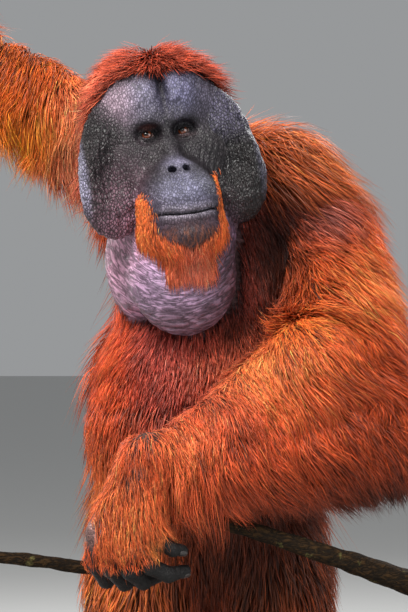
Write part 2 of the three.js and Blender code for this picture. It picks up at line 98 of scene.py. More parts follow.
def linear(red: float, green: float, blue: float) -> tuple[float, float, float]:
    """A screen colour from 0 to 255 as the light it stands for."""
    return tuple(
        c / 12.92 if c <= 0.04045 else ((c + 0.055) / 1.055) ** 2.4
        for c in (red / 255, green / 255, blue / 255)
    )


def full(colour: tuple[float, float, float]) -> tuple[float, float, float, float]:
    """A screen colour from 0 to 255 as the light it stands for, with nothing see-through."""
    return (*linear(*colour), 1)


# Forms given by their distance, in millimetres

class Form:
    """A solid known by the distance to its surface, with a box that holds it."""

    def __init__(self, distance: Callable[[Array], Array], low: Array, high: Array) -> None:
        """Keeps the distance and the corners of the box."""
        self.distance = distance
        self.low = np.array(low, float)
        self.high = np.array(high, float)

    def __call__(self, p: Array) -> Array:
        """The distance from each point to the surface, below zero inside."""
        return self.distance(p)


def round_cone(a: Point, b: Point, ra: float, rb: float) -> Form:
    """A cone with round ends.

    Args:
        a: the middle of one end.
        b: the middle of the other end.
        ra: the radius at a.
        rb: the radius at b.

    Returns:
        The form.
    """
    a, b = np.array(a, float), np.array(b, float)
    length = float(np.linalg.norm(b - a))
    axis = (b - a) / length
    slope = (ra - rb) / length
    across = math.sqrt(max(1e-9, 1 - slope * slope))

    def distance(p: Array) -> Array:
        """How far each point is from the cone."""
        q = p - a
        y = q @ axis
        x = np.sqrt(np.maximum((q * q).sum(axis=-1) - y * y, 0))
        k = across * y - slope * x
        near = np.sqrt(x * x + y * y) - ra
        far = np.sqrt(x * x + (y - length) ** 2) - rb
        side = across * x + slope * y - ra
        return np.where(k < 0, near, np.where(k > across * length, far, side))

    widest = max(ra, rb)
    return Form(distance, np.minimum(a, b) - widest, np.maximum(a, b) + widest)


def egg(centre: Point, radii: Point, turn: Array | None = None) -> Form:
    """An ellipsoid.

    Args:
        centre: its middle.
        radii: its three half widths.
        turn: how it is turned, or None.

    Returns:
        The form.
    """
    c, r = np.array(centre, float), np.array(radii, float)

    def distance(p: Array) -> Array:
        """How far each point is from the ellipsoid."""
        q = p - c
        if turn is not None:
            q = q @ turn
        k0 = np.linalg.norm(q / r, axis=-1)
        k1 = np.linalg.norm(q / (r * r), axis=-1)
        return np.where(k1 < 1e-9, -r.min(), k0 * (k0 - 1) / np.maximum(k1, 1e-9))

    widest = r.max() if turn is not None else r
    return Form(distance, c - widest, c + widest)


def soft_min(d: Array, e: Array, k: float) -> Array:
    """The lower of two distances, rounded over a width k where they meet."""
    h = np.maximum(k - np.abs(d - e), 0) / k
    return np.minimum(d, e) - h * h * k * 0.25


def blend(k: float, *forms: Form) -> Form:
    """Forms run together with soft joins of width k."""
    def distance(p: Array) -> Array:
        """How far each point is from the joined forms."""
        d = forms[0](p)
        for other in forms[1:]:
            d = soft_min(d, other(p), k)
        return d

    return Form(distance, np.min([f.low for f in forms], axis=0), np.max([f.high for f in forms], axis=0))


def carve(k: float, form: Form, tool: Form | Callable[[Array], Array]) -> Form:
    """A form with a tool's shape taken out of it, its edge rounded over a width k."""
    return Form(lambda p: -soft_min(-form(p), tool(p), k), form.low, form.high)


def chain(points: Sequence[Point], radii: Sequence[float], k: float) -> Form:
    """Round cones end to end through some points, softly joined."""
    pairs = zip(points, points[1:], radii, radii[1:])
    return blend(k, *[round_cone(a, b, ra, rb) for a, b, ra, rb in pairs])


def turned(deg_x: float, deg_y: float, deg_z: float) -> Array:
    """A turn about y, then x, then z, as rows that multiply from the right."""
    spin = Matrix.Rotation(math.radians(deg_z), 3, "Z") @ Matrix.Rotation(math.radians(deg_x), 3, "X")
    return np.array(spin @ Matrix.Rotation(math.radians(deg_y), 3, "Y"))


# The body's own sizes

JOINTS = {name: np.array(place, float) for name, place in {
    "shoulder_left": (192, 25, 1042), "elbow_left": (270, -165, 738), "wrist_left": (-86, -290, 700),
    "shoulder_right": (-150, 40, 1212), "elbow_right": (-440, 85, 1402), "wrist_right": (-425, 45, 1790),
    "hip_left": (96, 12, 545), "knee_left": (150, -92, 322), "ankle_left": (132, 12, 100),
    "hip_right": (-84, 12, 545), "knee_right": (-128, -92, 322), "ankle_right": (-126, 12, 100),
}.items()}
FLOOR_Z = 20.3
DOWN = np.array([0.0, 0.0, -1.0])
UP = np.array([0.0, 0.0, 1.0])


@dataclass(frozen=True)
class HeadSizes:
    """Where the head's features lie in its own frame, from between the eyes: x left, y back, z up."""

    place: tuple[float, float, float] = (-62, -175, 1226)
    turn: tuple[float, float, float] = (-8, -8, 10)
    eye_apart: float = 30
    eye_back: float = 12
    eye_ball: float = 12.5
    nose_z: float = -72
    mouth_z: float = -150
    mouth_half: float = 48
    crown_top: tuple[float, float, float] = (0, 70, 150)


class Head:
    """The head's fields, in its own frame, and the way between that frame and the model's."""

    def __init__(self, sizes: HeadSizes) -> None:
        """Builds the fields from the sizes."""
        self.sizes = sizes
        self.origin = np.array(sizes.place, float)
        self.turn = turned(*sizes.turn)
        self.form = self.placed(self._face())
        self.flanges = [self.placed(self._flange(s)) for s in (-1, 1)]
        self.ears = [self.placed(self._ear(s)) for s in (-1, 1)]

    def inside(self, p: Array) -> Array:
        """Points of the model in the head's own frame."""
        return (p - self.origin) @ self.turn

    def outside(self, q: Array) -> Array:
        """Points of the head's own frame in the model."""
        return q @ self.turn.T + self.origin

    def placed(self, form: Form) -> Form:
        """A form of the head's frame, in the model."""
        corners = np.array([[x, y, z] for x in (form.low[0], form.high[0])
                            for y in (form.low[1], form.high[1]) for z in (form.low[2], form.high[2])])
        world = self.outside(corners)
        return Form(lambda p: form(self.inside(p)), world.min(axis=0), world.max(axis=0))

    def eye_at(self, side: int) -> Array:
        """The middle of an eyeball: side is -1 for its right, 1 for its left."""
        return np.array([side * self.sizes.eye_apart, self.sizes.eye_back, 0.0])

    def _face(self) -> Form:
        """Skull, brow, cheeks, muzzle, nose, lips, lids and their openings."""
        s = self.sizes
        skull = blend(30, egg((0, 74, 44), (92, 92, 102)), egg((-42, 30, 58), (56, 44, 56)),
                      egg((42, 30, 58), (56, 44, 56)), egg((0, 60, -60), (80, 80, 90)))
        brow = chain([(-50, 8, 16), (-26, 0, 20), (0, 5, 17), (26, 0, 20), (50, 8, 16)],
                     [15, 17, 14, 17, 15], 10)
        cheeks = [egg((x, 26, -38), (46, 36, 62)) for x in (-58, 58)]
        nose = blend(12, round_cone((0, 2, -4), (0, -32, s.nose_z + 14), 12, 12),
                     egg((-13, -43, s.nose_z), (14, 15, 12)), egg((13, -43, s.nose_z), (14, 15, 12)))
        muzzle = blend(26, egg((0, -14, -114), (66, 64, 64)), egg((0, -46, -124), (52, 42, 36)),
                       egg((0, -34, -172), (54, 46, 38)), egg((0, 10, -162), (68, 66, 48)))
        form = carve(12, blend(16, skull, brow, *cheeks), round_cone((0, -26, 44), (0, -8, 100), 8, 9))
        form = blend(14, blend(22, form, muzzle), nose)
        for side in (-1, 1):
            form = carve(12, form, egg((side * s.eye_apart, -8, -1), (20, 20, 15)))
        form = self._lips(form)
        form = self._nostrils(form)
        for side in (-1, 1):
            form = self._lids(form, side)
        return form

    def mouth_line(self, form: Form, drop: float, out: float, count: int = 9) -> list[Array]:
        """Points along the mouth on a form, dropped by some millimetres and standing out by some."""
        s = self.sizes
        found = []
        for t in np.linspace(-1, 1, count):
            z = s.mouth_z + drop + 8 * t * t
            y = np.linspace(-125, 40, 1500)
            line = np.stack([np.full_like(y, t * s.mouth_half), y, np.full_like(y, z)], axis=1)
            found.append(line[int(np.argmax(form(line) < 0))] - (0, out, 0))
        return found

    def _lips(self, form: Form) -> Form:
        """The two lips, which meet along the line of the mouth."""
        upper = chain(self.mouth_line(form, 6.5, -3.9), [3, 4.5, 5.6, 6, 6.5, 6, 5.6, 4.5, 3], 3)
        lower = chain(self.mouth_line(form, -7, -4.2), [3, 4.5, 6, 6.6, 6.8, 6.6, 6, 4.5, 3], 3)
        return blend(6, form, upper, lower)

    def from_mouth(self, q: Array) -> tuple[Array, Array]:
        """How far points of the head lie above the line of the mouth, and 1 where the mouth is."""
        s = self.sizes
        across = q[:, 0] / s.mouth_half
        above = q[:, 2] - (s.mouth_z + 8 * across * across)
        return above, (q[:, 1] < -20) * (1 - ramp(np.abs(across), 0.9, 1.06))

    def _nostrils(self, form: Form) -> Form:
        """Two slanting nostrils under the nose's tip."""
        z, apart = self.sizes.nose_z, 10.5
        for side in (-1, 1):
            arc = [(side * (apart + apart * math.cos(a)), -50 - 3 * math.sin(a), z - 5 + 10 * math.sin(a))
                   for a in np.radians((-50, -15, 25, 65, 105, 140))]
            form = blend(4, form, chain(arc, [2.6, 3.4, 3.8, 3.8, 3.4, 2.8], 2))
            tilt = turned(-35, side * 28, side * 20)
            form = carve(2, form, egg((side * apart, -58, z - 4), (7.4, 12, 8.6), tilt))
        return form

    def _lids(self, form: Form, side: int) -> Form:
        """A ball of lids in its socket, opened in front of the eye."""
        c = self.eye_at(side)
        ball = self.sizes.eye_ball
        upper = egg(c + (0, -0.4, 1.5), (ball + 3.4, ball + 3.2, ball + 2.6))
        bag = egg(c + (side * 1, 0.5, -6.5), (ball + 3.5, ball + 1.2, ball - 2.5))
        across = (-13, -6, 0, 6, 13)
        crease = chain([c + (dx, -11.2 + dx * dx * 0.022, 9.2 - dx * dx * 0.03) for dx in across],
                       [1.0, 1.4, 1.5, 1.4, 1.0], 1)
        lidded = carve(2.0, blend(5, form, upper, bag), crease)
        slit = egg(c + (0, -12, -0.8), (12.6, 13, 5.0), turned(0, side * -6, 0))
        floor = ball - 1.2

        def opening(p: Array) -> Array:
            """The slit, down to just under the eyeball's surface."""
            return np.maximum(slit(p), floor - np.linalg.norm(p - c, axis=-1))

        return carve(1.4, lidded, opening)

    def _flange(self, side: int) -> Form:
        """One cheek flange: a broad dished plate with a full rim."""
        turn = turned(4, side * -8, side * -12)
        plate = blend(30, egg((side * 88, 24, -18), (56, 25, 90), turn),
                      egg((side * 97, 14, -84), (58, 25, 78), turn))
        return carve(20, plate, egg((side * 90, -60, -52), (44, 64, 84), turn))

    def _ear(self, side: int) -> Form:
        """One small round ear with its cup."""
        return carve(3, egg((side * 96, 84, 0), (12, 17, 24)), egg((side * 107, 76, 2), (9, 11, 16)))


@dataclass(frozen=True)
class HandSizes:
    """One hand: its wrist, knuckles, thumb and finger lines, and the palm's radii."""

    wrist: tuple[float, float, float]
    knuckles: tuple[tuple[float, float, float], ...]
    thumb: tuple[tuple[float, float, float], ...]
    fingers: tuple[tuple[tuple[float, float, float], ...], ...]
    palm: tuple[float, float]


FINGER_RADII = (16, 14, 12.5, 10)
THUMB_RADII = (15, 13, 11, 9)
SPREAD = (-36, -12, 12, 36)
HANDS = {
    "left": HandSizes(
        wrist=(-86, -290, 700),
        knuckles=((-96, -318, 562), (-120, -322, 562), (-145, -314, 570), (-168, -300, 584)),
        thumb=((-92, -304, 594), (-70, -318, 572), (-50, -318, 560), (-34, -310, 558)),
        fingers=(
            ((-96, -316, 560), (-84, -324, 534), (-56, -316, 520), (-30, -298, 524)),
            ((-121, -320, 560), (-116, -320, 526), (-96, -294, 506), (-74, -262, 512)),
            ((-146, -312, 568), (-146, -308, 528), (-126, -276, 502), (-100, -246, 514)),
            ((-169, -298, 582), (-174, -288, 538), (-156, -256, 504), (-132, -230, 518)),
        ),
        palm=(33, 20),
    ),
    "right": HandSizes(
        wrist=(-425, 45, 1790),
        knuckles=tuple((-425 + x, 50, 1896) for x in SPREAD),
        thumb=((-392, 44, 1826), (-386, 8, 1838), (-388, -28, 1856), (-394, -36, 1880)),
        fingers=tuple(
            ((-425 + x, 48, 1896), (-425 + x * 1.05, 18, 1921), (-425 + x * 1.05, -20, 1918),
             (-425 + x * 1.02, -38, 1892), (-425 + x, -30, 1866))
            for x in SPREAD
        ),
        palm=(30, 19),
    ),
}


def toe_lines(side: int) -> tuple[list[list[Array]], list[Array]]:
    """The lines of a foot's four toes and of its big toe, side -1 for the right."""
    x, y, _ = JOINTS["ankle_left" if side > 0 else "ankle_right"]
    toes = []
    for dx, long in zip((-30, -10, 10, 30), (104, 118, 114, 98)):
        tx, ty = x + side * (10 + dx), y - 84
        steps = ((0, 0, 42), (0.1, 0.4, 50), (0.15, 0.8, 38), (0.15, 1, 30))
        toes.append([np.array([tx + dx * out, ty - long * on, z]) for out, on, z in steps])
    big = [(x - side * 24, y - 12, 40), (x - side * 46, y - 46, 41), (x - side * 56, y - 84, 33)]
    return toes, [np.array(p) for p in big]


class Region(Enum):
    """The forms of the body that the coat and the colours tell apart."""

    TRUNK = 0
    NECK = 1
    POUCH = 2
    HEAD = 3
    FLANGE = 4
    EAR = 5
    UPPER_ARM_LEFT = 6
    FOREARM_LEFT = 7
    HAND_LEFT = 8
    DIGITS = 9
    UPPER_ARM_RIGHT = 10
    FOREARM_RIGHT = 11
    HAND_RIGHT = 12
    THIGH = 13
    SHIN = 14
    FOOT = 15


def in_regions(region: Array, *chosen: Region) -> Array:
    """True for points of the chosen regions."""
    return np.isin(region, [r.value for r in chosen])


def on_regions(region: Array, *chosen: Region) -> Array:
    """1 for points of the chosen regions, 0 for others."""
    return in_regions(region, *chosen).astype(float)


class Body:
    """Every form of the flesh, and the one smooth surface round them all."""

    margin = 70.0

    def __init__(self, head: Head) -> None:
        """Builds the forms, in the order that they run together."""
        self.head = head
        self.forms: list[tuple[Region, Form, float]] = []
        self._trunk()
        self._arms()
        self._legs()
        self._neck_and_head()
        self._hands()

    def add(self, region: Region, form: Form, k: float) -> None:
        """Adds a form that joins those before it over a width k."""
        self.forms.append((region, form, k))

    def _trunk(self) -> None:
        """The trunk, from the hips to the shoulders."""
        self.add(Region.TRUNK, blend(
            60, egg((16, 15, 965), (136, 126, 190)), egg((4, -8, 815), (172, 142, 150)),
            egg((4, -24, 722), (182, 150, 170)), egg((8, 15, 570), (160, 122, 140)),
            round_cone((-80, 40, 1122), (125, 45, 1146), 76, 84)), 1)

    def _arms(self) -> None:
        """Both arms, the left one with the bulge of its forearm."""
        for side, region in (("left", Region.UPPER_ARM_LEFT), ("right", Region.UPPER_ARM_RIGHT)):
            shoulder, elbow, wrist = (JOINTS[f"{name}_{side}"] for name in ("shoulder", "elbow", "wrist"))
            left = side == "left"
            inner = np.array([-0.7, -0.7, 0.1] if left else [0.3, -0.9, 0.1])
            top, low = (90, 62) if left else (62, 36)
            turn = np.array(Vector((0, 0, 1)).rotation_difference(Vector(elbow - shoulder)).to_matrix())
            middle = mix(shoulder, elbow, 0.45) + inner * 14
            self.add(region, blend(40, round_cone(shoulder, elbow, top, low),
                                   egg(middle, (top * 0.8, top * 0.8, 120), turn)), 40)
            fore = [round_cone(elbow, wrist, low, 34),
                    round_cone(mix(elbow, wrist, 0.15), mix(elbow, wrist, 0.5), low, 50)]
            if left:
                fore.append(round_cone((186, -150, 850), (-10, -240, 722), 72, 44))
            self.add(Region.FOREARM_LEFT if left else Region.FOREARM_RIGHT, blend(40, *fore), 14)

    def _legs(self) -> None:
        """Both legs and feet, flat on the base."""
        for side, s in (("left", 1), ("right", -1)):
            hip, knee, ankle = (JOINTS[f"{name}_{side}"] for name in ("hip", "knee", "ankle"))
            calf = [mix(knee, ankle, t) + (0, 14, 0) for t in (0.2, 0.55)]
            self.add(Region.THIGH, blend(40, round_cone(hip, knee, 94, 58),
                                         egg(mix(hip, knee, 0.35), (82, 84, 110))), 30)
            self.add(Region.SHIN, blend(30, round_cone(knee, ankle, 56, 35), round_cone(*calf, 46, 38)), 24)
            x, y, _ = ankle
            toes, big = toe_lines(s)
            sole = blend(24, round_cone((x, y + 8, 104), (x + s * 8, y - 76, 44), 38, 27),
                         round_cone((x - s * 4, y + 62, 50), (x + s * 6, y - 70, 38), 31, 28),
                         egg((x, y - 30, 46), (40, 70, 30)))
            digits = blend(3, *[chain(t, (14, 13, 12, 9), 4) for t in toes], chain(big, (18, 15, 10), 6))
            whole = blend(8, sole, digits)
            flat = Form(lambda p, f=whole: -soft_min(-f(p), p[:, 2] - FLOOR_Z - 0.3, 4),
                        whole.low, whole.high)
            self.add(Region.FOOT, flat, 16)

    def _neck_and_head(self) -> None:
        """The neck, the throat pouch, the head, its flanges and ears."""
        neck = blend(40, round_cone((0, 40, 1090), (-50, -40, 1190), 112, 88),
                     round_cone((-20, -30, 1060), (-46, -90, 1140), 92, 74))
        pouch = blend(30, egg((-33, -166, 992), (86, 66, 97)), egg((-40, -138, 1062), (92, 74, 64)))
        self.add(Region.NECK, neck, 30)
        self.add(Region.NECK, egg((-104, -38, 1012), (60, 58, 92)), 40)
        self.add(Region.POUCH, blend(46, egg((-108, -84, 1022), (56, 66, 92)), pouch), 18)
        self.add(Region.HEAD, self.head.form, 10)
        for flange in self.head.flanges:
            self.add(Region.FLANGE, flange, 10)
        for ear in self.head.ears:
            self.add(Region.EAR, ear, 4)

    def _hands(self) -> None:
        """Both hands with their digits."""
        for side, hand in HANDS.items():
            palm = blend(18, *[round_cone(hand.wrist, k, *hand.palm) for k in hand.knuckles])
            self.add(Region.HAND_LEFT if side == "left" else Region.HAND_RIGHT, palm, 16)
            for line in hand.fingers:
                radii = np.interp(np.linspace(0, 1, len(line)), np.linspace(0, 1, 4), FINGER_RADII)
                self.add(Region.DIGITS, chain(line, radii, 4), 3)
            self.add(Region.DIGITS, chain(hand.thumb, THUMB_RADII, 4), 6)

    def distance(self, p: Array) -> Array:
        """How far each point is from the whole body's surface."""
        d = np.full(len(p), self.margin * 2)
        for _, form, k in self.forms:
            near = np.all((p > form.low - self.margin) & (p < form.high + self.margin), axis=1)
            if near.any():
                d[near] = soft_min(d[near], form(p[near]), k)
        return d

    def slope(self, p: Array, step: float = 0.4) -> Array:
        """The way out of the body at each point, not of length one."""
        return np.stack([
            (self.distance(p + step * axis) - self.distance(p - step * axis)) / (2 * step)
            for axis in np.eye(3)
        ], axis=1)

    def nearest(self, p: Array) -> tuple[Array, Array]:
        """Which region each point belongs to, and its distance to each region.

        Args:
            p: points on or near the surface.

        Returns:
            The region's number for each point, and one column of distances for each region.
        """
        away = np.full((len(p), len(Region)), self.margin * 2)
        for region, form, _ in self.forms:
            near = np.all((p > form.low - self.margin) & (p < form.high + self.margin), axis=1)
            if near.any():
                column = away[near, region.value]
                away[near, region.value] = np.minimum(column, form(p[near]))
        return away.argmin(axis=1), away


class Volume:
    def __init__(self, body: Body, step: float = 8.5, border: float = 120.0) -> None:
        """Samples the body.

        Args:
            body: the body.
            step: the grid's spacing.
            border: how far the grid goes past the body.
        """
        self.step = step
        self.low = np.min([f.low for _, f, _ in body.forms], axis=0) - border
        high = np.max([f.high for _, f, _ in body.forms], axis=0) + border
        self.count = np.ceil((high - self.low) / step).astype(int) + 1
        axes = [self.low[i] + step * np.arange(self.count[i]) for i in range(3)]
        plane = np.stack(np.meshgrid(axes[1], axes[2], indexing="ij"), axis=-1).reshape(-1, 2)
        values = np.empty(self.count)
        block = 12
        for i in range(0, self.count[0], block):
            xs = axes[0][i:i + block]
            p = np.concatenate([np.repeat(xs, len(plane))[:, None], np.tile(plane, (len(xs), 1))], axis=1)
            values[i:i + block] = body.distance(p).reshape(len(xs), *self.count[1:])
        self.values = values
        self.slopes = np.stack(np.gradient(values, step), axis=-1)

    def _corners(self, p: Array) -> Iterable[tuple[Array, Array]]:
        """The eight grid corners round each point, with their weights."""
        x = np.clip((p - self.low) / self.step, 0, self.count - 1.001)
        base = np.floor(x).astype(int)
        f = x - base
        for corner in np.ndindex(2, 2, 2):
            weight = np.prod(np.where(corner, f, 1 - f), axis=1)
            i = base + corner
            yield (i[:, 0] * self.count[1] + i[:, 1]) * self.count[2] + i[:, 2], weight

    def look(self, p: Array) -> tuple[Array, Array]:
        """The distance and the way out at each point.

        Args:
            p: points in the grid.

        Returns:
            The distances, and the outward directions of length one.
        """
        flat, slopes = self.values.reshape(-1), self.slopes.reshape(-1, 3)
        d, g = np.zeros(len(p)), np.zeros((len(p), 3))
        for i, weight in self._corners(p):
            d += flat[i] * weight
            g += slopes[i] * weight[:, None]
        return d, unit(g)

    def surface(self) -> tuple[Array, Array]:
        """The body's surface as points and four-sided faces that face out."""
        grid = openvdb.FloatGrid(float(self.values.max()))
        grid.copyFromArray(self.values.astype(np.float32))
        points, quads = grid.convertToQuads(isovalue=0.0)
        points = np.asarray(points, float) * self.step + self.low
        quads = np.asarray(quads, int)
        corner = points[quads]
        facing = np.cross(corner[:, 2] - corner[:, 0], corner[:, 3] - corner[:, 1])
        if (facing * corner.mean(axis=1)).sum() < 0:
            quads = quads[:, ::-1]
        return points, quads


# Colours that lie on the body, shared by the skin and the coat, among them painted highlights and painted
# shade

class Space(Enum):
    """The frame that a marking's place is given in."""

    MODEL = "model"
    HEAD = "head"


@dataclass(frozen=True)
class Marking:
    """A soft-edged patch of another colour."""

    centre: tuple[float, float, float]
    radii: tuple[float, float, float]
    colour: tuple[float, float, float]
    strength: float = 1.0
    space: Space = Space.MODEL

    def weight(self, p: Array, q: Array) -> Array:
        """How strongly the patch shows.

        Args:
            p: points of the model.
            q: the same points in the head's frame.

        Returns:
            A value from 0 to 1 for each point.
        """
        x = (p if self.space is Space.MODEL else q) - np.array(self.centre)
        return self.strength * np.exp(-((x / np.array(self.radii)) ** 2).sum(axis=1))


def painted(base: Array, markings: Iterable[Marking], p: Array, q: Array) -> Array:
    """The base colours with each marking laid over them in turn."""
    colour = base.copy()
    for marking in markings:
        colour = mix(colour, np.array(linear(*marking.colour)), marking.weight(p, q)[:, None])
    return colour


SKIN_BASE = {
    Region.TRUNK: (70, 34, 26), Region.NECK: (84, 62, 68), Region.POUCH: (126, 102, 126),
    Region.HEAD: (36, 32, 35), Region.FLANGE: (24, 21, 22), Region.EAR: (52, 44, 48),
    Region.UPPER_ARM_LEFT: (64, 30, 18), Region.FOREARM_LEFT: (70, 32, 20), Region.HAND_LEFT: (82, 56, 48),
    Region.DIGITS: (14, 12, 12), Region.UPPER_ARM_RIGHT: (70, 34, 18), Region.FOREARM_RIGHT: (66, 32, 20),
    Region.HAND_RIGHT: (46, 36, 34), Region.THIGH: (60, 32, 22), Region.SHIN: (52, 30, 22),
    Region.FOOT: (28, 25, 26),
}
HEAD_MARKS = tuple(Marking(*row, Space.HEAD) for row in (
    # Painted bluish highlights on the forehead's two lobes.
    ((-32, -10, 62), (30, 60, 34), (104, 100, 120), 0.85),
    ((30, -10, 64), (30, 60, 34), (96, 94, 120), 0.85),
    # Painted shade in the groove between the forehead's two lobes.
    ((2, -14, 66), (6, 50, 40), (30, 26, 30), 0.85),
    ((-70, 20, 62), (26, 60, 32), (150, 128, 142), 0.8),
    ((82, 20, 44), (24, 60, 30), (96, 90, 108), 0.6),
    ((0, 0, 104), (90, 60, 12), (58, 38, 36), 0.6),
    # Painted shade in both eye sockets under the brow.
    ((-30, -6, 2), (19, 22, 13), (20, 16, 17), 0.9),
    ((30, -6, 2), (19, 22, 13), (20, 16, 18), 0.9),
    ((-30, -4, 11), (12, 14, 3.6), (92, 42, 34), 0.65),
    ((32, -4, -8), (12, 14, 3), (104, 84, 86), 0.6),
    ((0, -30, -30), (10, 30, 26), (50, 46, 52), 0.5),
    ((0, -46, -64), (19, 24, 14), (112, 108, 128), 0.95),
    ((0, -78, -112), (46, 50, 30), (100, 99, 120), 0.9),
    ((-50, 0, -52), (24, 40, 38), (34, 30, 33), 0.7),
    ((50, 0, -52), (22, 40, 36), (34, 30, 34), 0.7),
    ((0, -70, -174), (48, 40, 22), (50, 34, 26), 0.85),
    # Painted shade inside both nostrils.
    ((-11, -57, -78), (7, 12, 8), (7, 5, 6), 1.0),
    ((11, -57, -78), (7, 12, 8), (7, 5, 6), 1.0),
))
SKIN_MARKS = tuple(Marking(*row) for row in (
    ((-150, -60, 1030), (60, 120, 100), (170, 124, 142), 0.95),
    ((-118, -120, 1060), (40, 90, 70), (164, 118, 136), 0.8),
    # Painted shade on the skin in the hollow between the neck and the left shoulder.
    ((70, -60, 970), (70, 120, 90), (34, 22, 24), 0.95),
    ((128, -50, 1040), (60, 120, 130), (24, 14, 13), 0.95),
    ((-38, -200, 1075), (60, 60, 36), (150, 122, 152), 0.5),
    ((-60, -215, 985), (40, 50, 60), (150, 122, 150), 0.5),
    ((40, -180, 985), (40, 60, 90), (62, 38, 40), 0.85),
    ((-33, -190, 912), (90, 80, 34), (92, 70, 78), 0.75),
    ((-109, -325, 689), (26, 30, 20), (150, 112, 110), 0.9),
    ((-169, -318, 598), (22, 40, 40), (140, 104, 100), 0.85),
    ((-112, -338, 560), (22, 14, 11), (176, 142, 112), 0.8),
    ((118, -80, 525), (20, 40, 24), (54, 46, 48), 0.9),
))
COAT_MARKS = tuple(Marking(*row) for row in (
    ((-25, -150, 900), (96, 200, 140), (192, 82, 74), 0.9),
    ((40, -140, 915), (60, 160, 40), (72, 28, 22), 0.8),
    ((-25, -170, 720), (100, 120, 70), (170, 70, 56), 0.6),
    ((-150, -60, 850), (40, 160, 190), (228, 84, 38), 0.85),
    ((60, -120, 520), (190, 160, 110), (64, 28, 14), 0.9),
    ((-150, -60, 560), (70, 150, 130), (240, 122, 52), 0.85),
    ((200, 40, 1200), (150, 120, 60), (196, 102, 54), 0.75),
    ((200, -60, 1092), (46, 110, 46), (140, 84, 78), 0.85),
    # Painted shade on the coat in the hollow between the neck and the left shoulder.
    ((112, -60, 1040), (56, 130, 150), (44, 20, 15), 0.97),
    # Painted light on top of the left upper arm, growing darker down it to painted shade on the underside of
    # the arm round the elbow.
    ((270, -120, 985), (90, 150, 70), (246, 118, 58), 0.85),
    ((290, -150, 810), (90, 160, 80), (142, 52, 20), 0.75),
    ((290, -180, 640), (170, 240, 86), (26, 9, 3), 0.97),
    ((125, -200, 600), (130, 150, 64), (34, 14, 5), 0.95),
    # Painted light along the top of the left forearm.
    ((150, -200, 905), (60, 70, 30), (246, 116, 42), 0.85),
    ((75, -250, 850), (120, 90, 54), (248, 128, 66), 0.85),
    ((-30, -300, 740), (60, 70, 60), (236, 112, 58), 0.6),
    ((-120, -330, 620), (60, 70, 70), (238, 118, 62), 0.7),
    ((-75, -325, 566), (16, 40, 22), (132, 112, 52), 0.6),
    ((-215, -10, 1210), (50, 110, 95), (246, 140, 110), 0.85),
    ((-300, 40, 1240), (110, 110, 50), (222, 122, 30), 0.8),
    ((-300, 40, 1390), (150, 90, 50), (152, 70, 26), 0.8),
    ((-44, 0, -120), (20, 60, 40), (206, 112, 74), 0.6, Space.HEAD),
    ((6, -60, -226), (34, 50, 24), (216, 130, 112), 0.55, Space.HEAD),
    ((-100, 60, 60), (40, 70, 80), (224, 104, 74), 0.7, Space.HEAD),
))


# Meshes from arrays

def linked(name: str, data: bpy.types.ID) -> bpy.types.Object:
    """A new object of the scene that holds some data."""
    made = bpy.data.objects.new(name, data)
    bpy.context.scene.collection.objects.link(made)
    return made


def object_from(name: str, points: Array, faces: Sequence[Sequence[int]]) -> bpy.types.Object:
    """A mesh object in metres.

    Args:
        name: the piece's name.
        points: its points in millimetres.
        faces: the corners of each face.

    Returns:
        The object, linked to the scene.
    """
    mesh = bpy.data.meshes.new(name)
    mesh.from_pydata((np.asarray(points) * MM).tolist(), [], [tuple(map(int, f)) for f in faces])
    mesh.validate()
    mesh.shade_smooth()
    return linked(name, mesh)


def points_of(mesh: bpy.types.Mesh) -> Array:
    """A mesh's points in millimetres."""
    flat = np.empty(len(mesh.vertices) * 3)
    mesh.vertices.foreach_get("co", flat)
    return flat.reshape(-1, 3) / MM


def set_points(mesh: bpy.types.Mesh, points: Array) -> None:
    """Moves a mesh's points, given in millimetres."""
    mesh.vertices.foreach_set("co", (points * MM).ravel())
    mesh.update()


def paint(mesh: bpy.types.Mesh, name: str, values: Array) -> None:
    """Keeps a colour for each point under a name that materials read."""
    layer = mesh.color_attributes.new(name=name, type="FLOAT_COLOR", domain="POINT")
    rgba = np.ones((len(values), 4), np.float32)
    rgba[:, :3] = values
    layer.data.foreach_set("color", rgba.ravel())


def face_out(mesh: bpy.types.Mesh) -> None:
    """Turns a closed mesh's faces outwards."""
    work = bmesh.new()
    work.from_mesh(mesh)
    bmesh.ops.recalc_face_normals(work, faces=work.faces)
    work.to_mesh(mesh)
    work.free()


def ring_faces(rings: int, sides: int, closed_ends: bool = True) -> list[tuple[int, ...]]:
    """The faces that join rings of points, with a point at each end where the ends are closed."""
    faces: list[tuple[int, ...]] = []
    for i in range(rings - 1):
        for j in range(sides):
            k = (j + 1) % sides
            faces.append((i * sides + j, i * sides + k, (i + 1) * sides + k, (i + 1) * sides + j))
    if closed_ends:
        first, last, top = rings * sides, rings * sides + 1, (rings - 1) * sides
        for j in range(sides):
            k = (j + 1) % sides
            faces.append((first, k, j))
            faces.append((last, top + j, top + k))
    return faces


def curve_through(points: Sequence[Point], count: int) -> Array:
    """Points evenly along a smooth curve through some points."""
    p = np.array(points, float)
    p = np.vstack([2 * p[0] - p[1], p, 2 * p[-1] - p[-2]])
    dense = []
    for i in range(1, len(p) - 2):
        t = np.linspace(0, 1, 24, endpoint=False)[:, None]
        a, b, c, d = p[i - 1:i + 3]
        dense.append(0.5 * (2 * b + (c - a) * t + (2 * a - 5 * b + 4 * c - d) * t ** 2
                            + (3 * b - a - 3 * c + d) * t ** 3))
    dense = np.vstack([*dense, p[-2:-1]])
    along = np.concatenate([[0], np.cumsum(np.linalg.norm(np.diff(dense, axis=0), axis=1))])
    at = np.linspace(0, along[-1], count)
    return np.stack([np.interp(at, along, dense[:, i]) for i in range(3)], axis=1)


# Materials

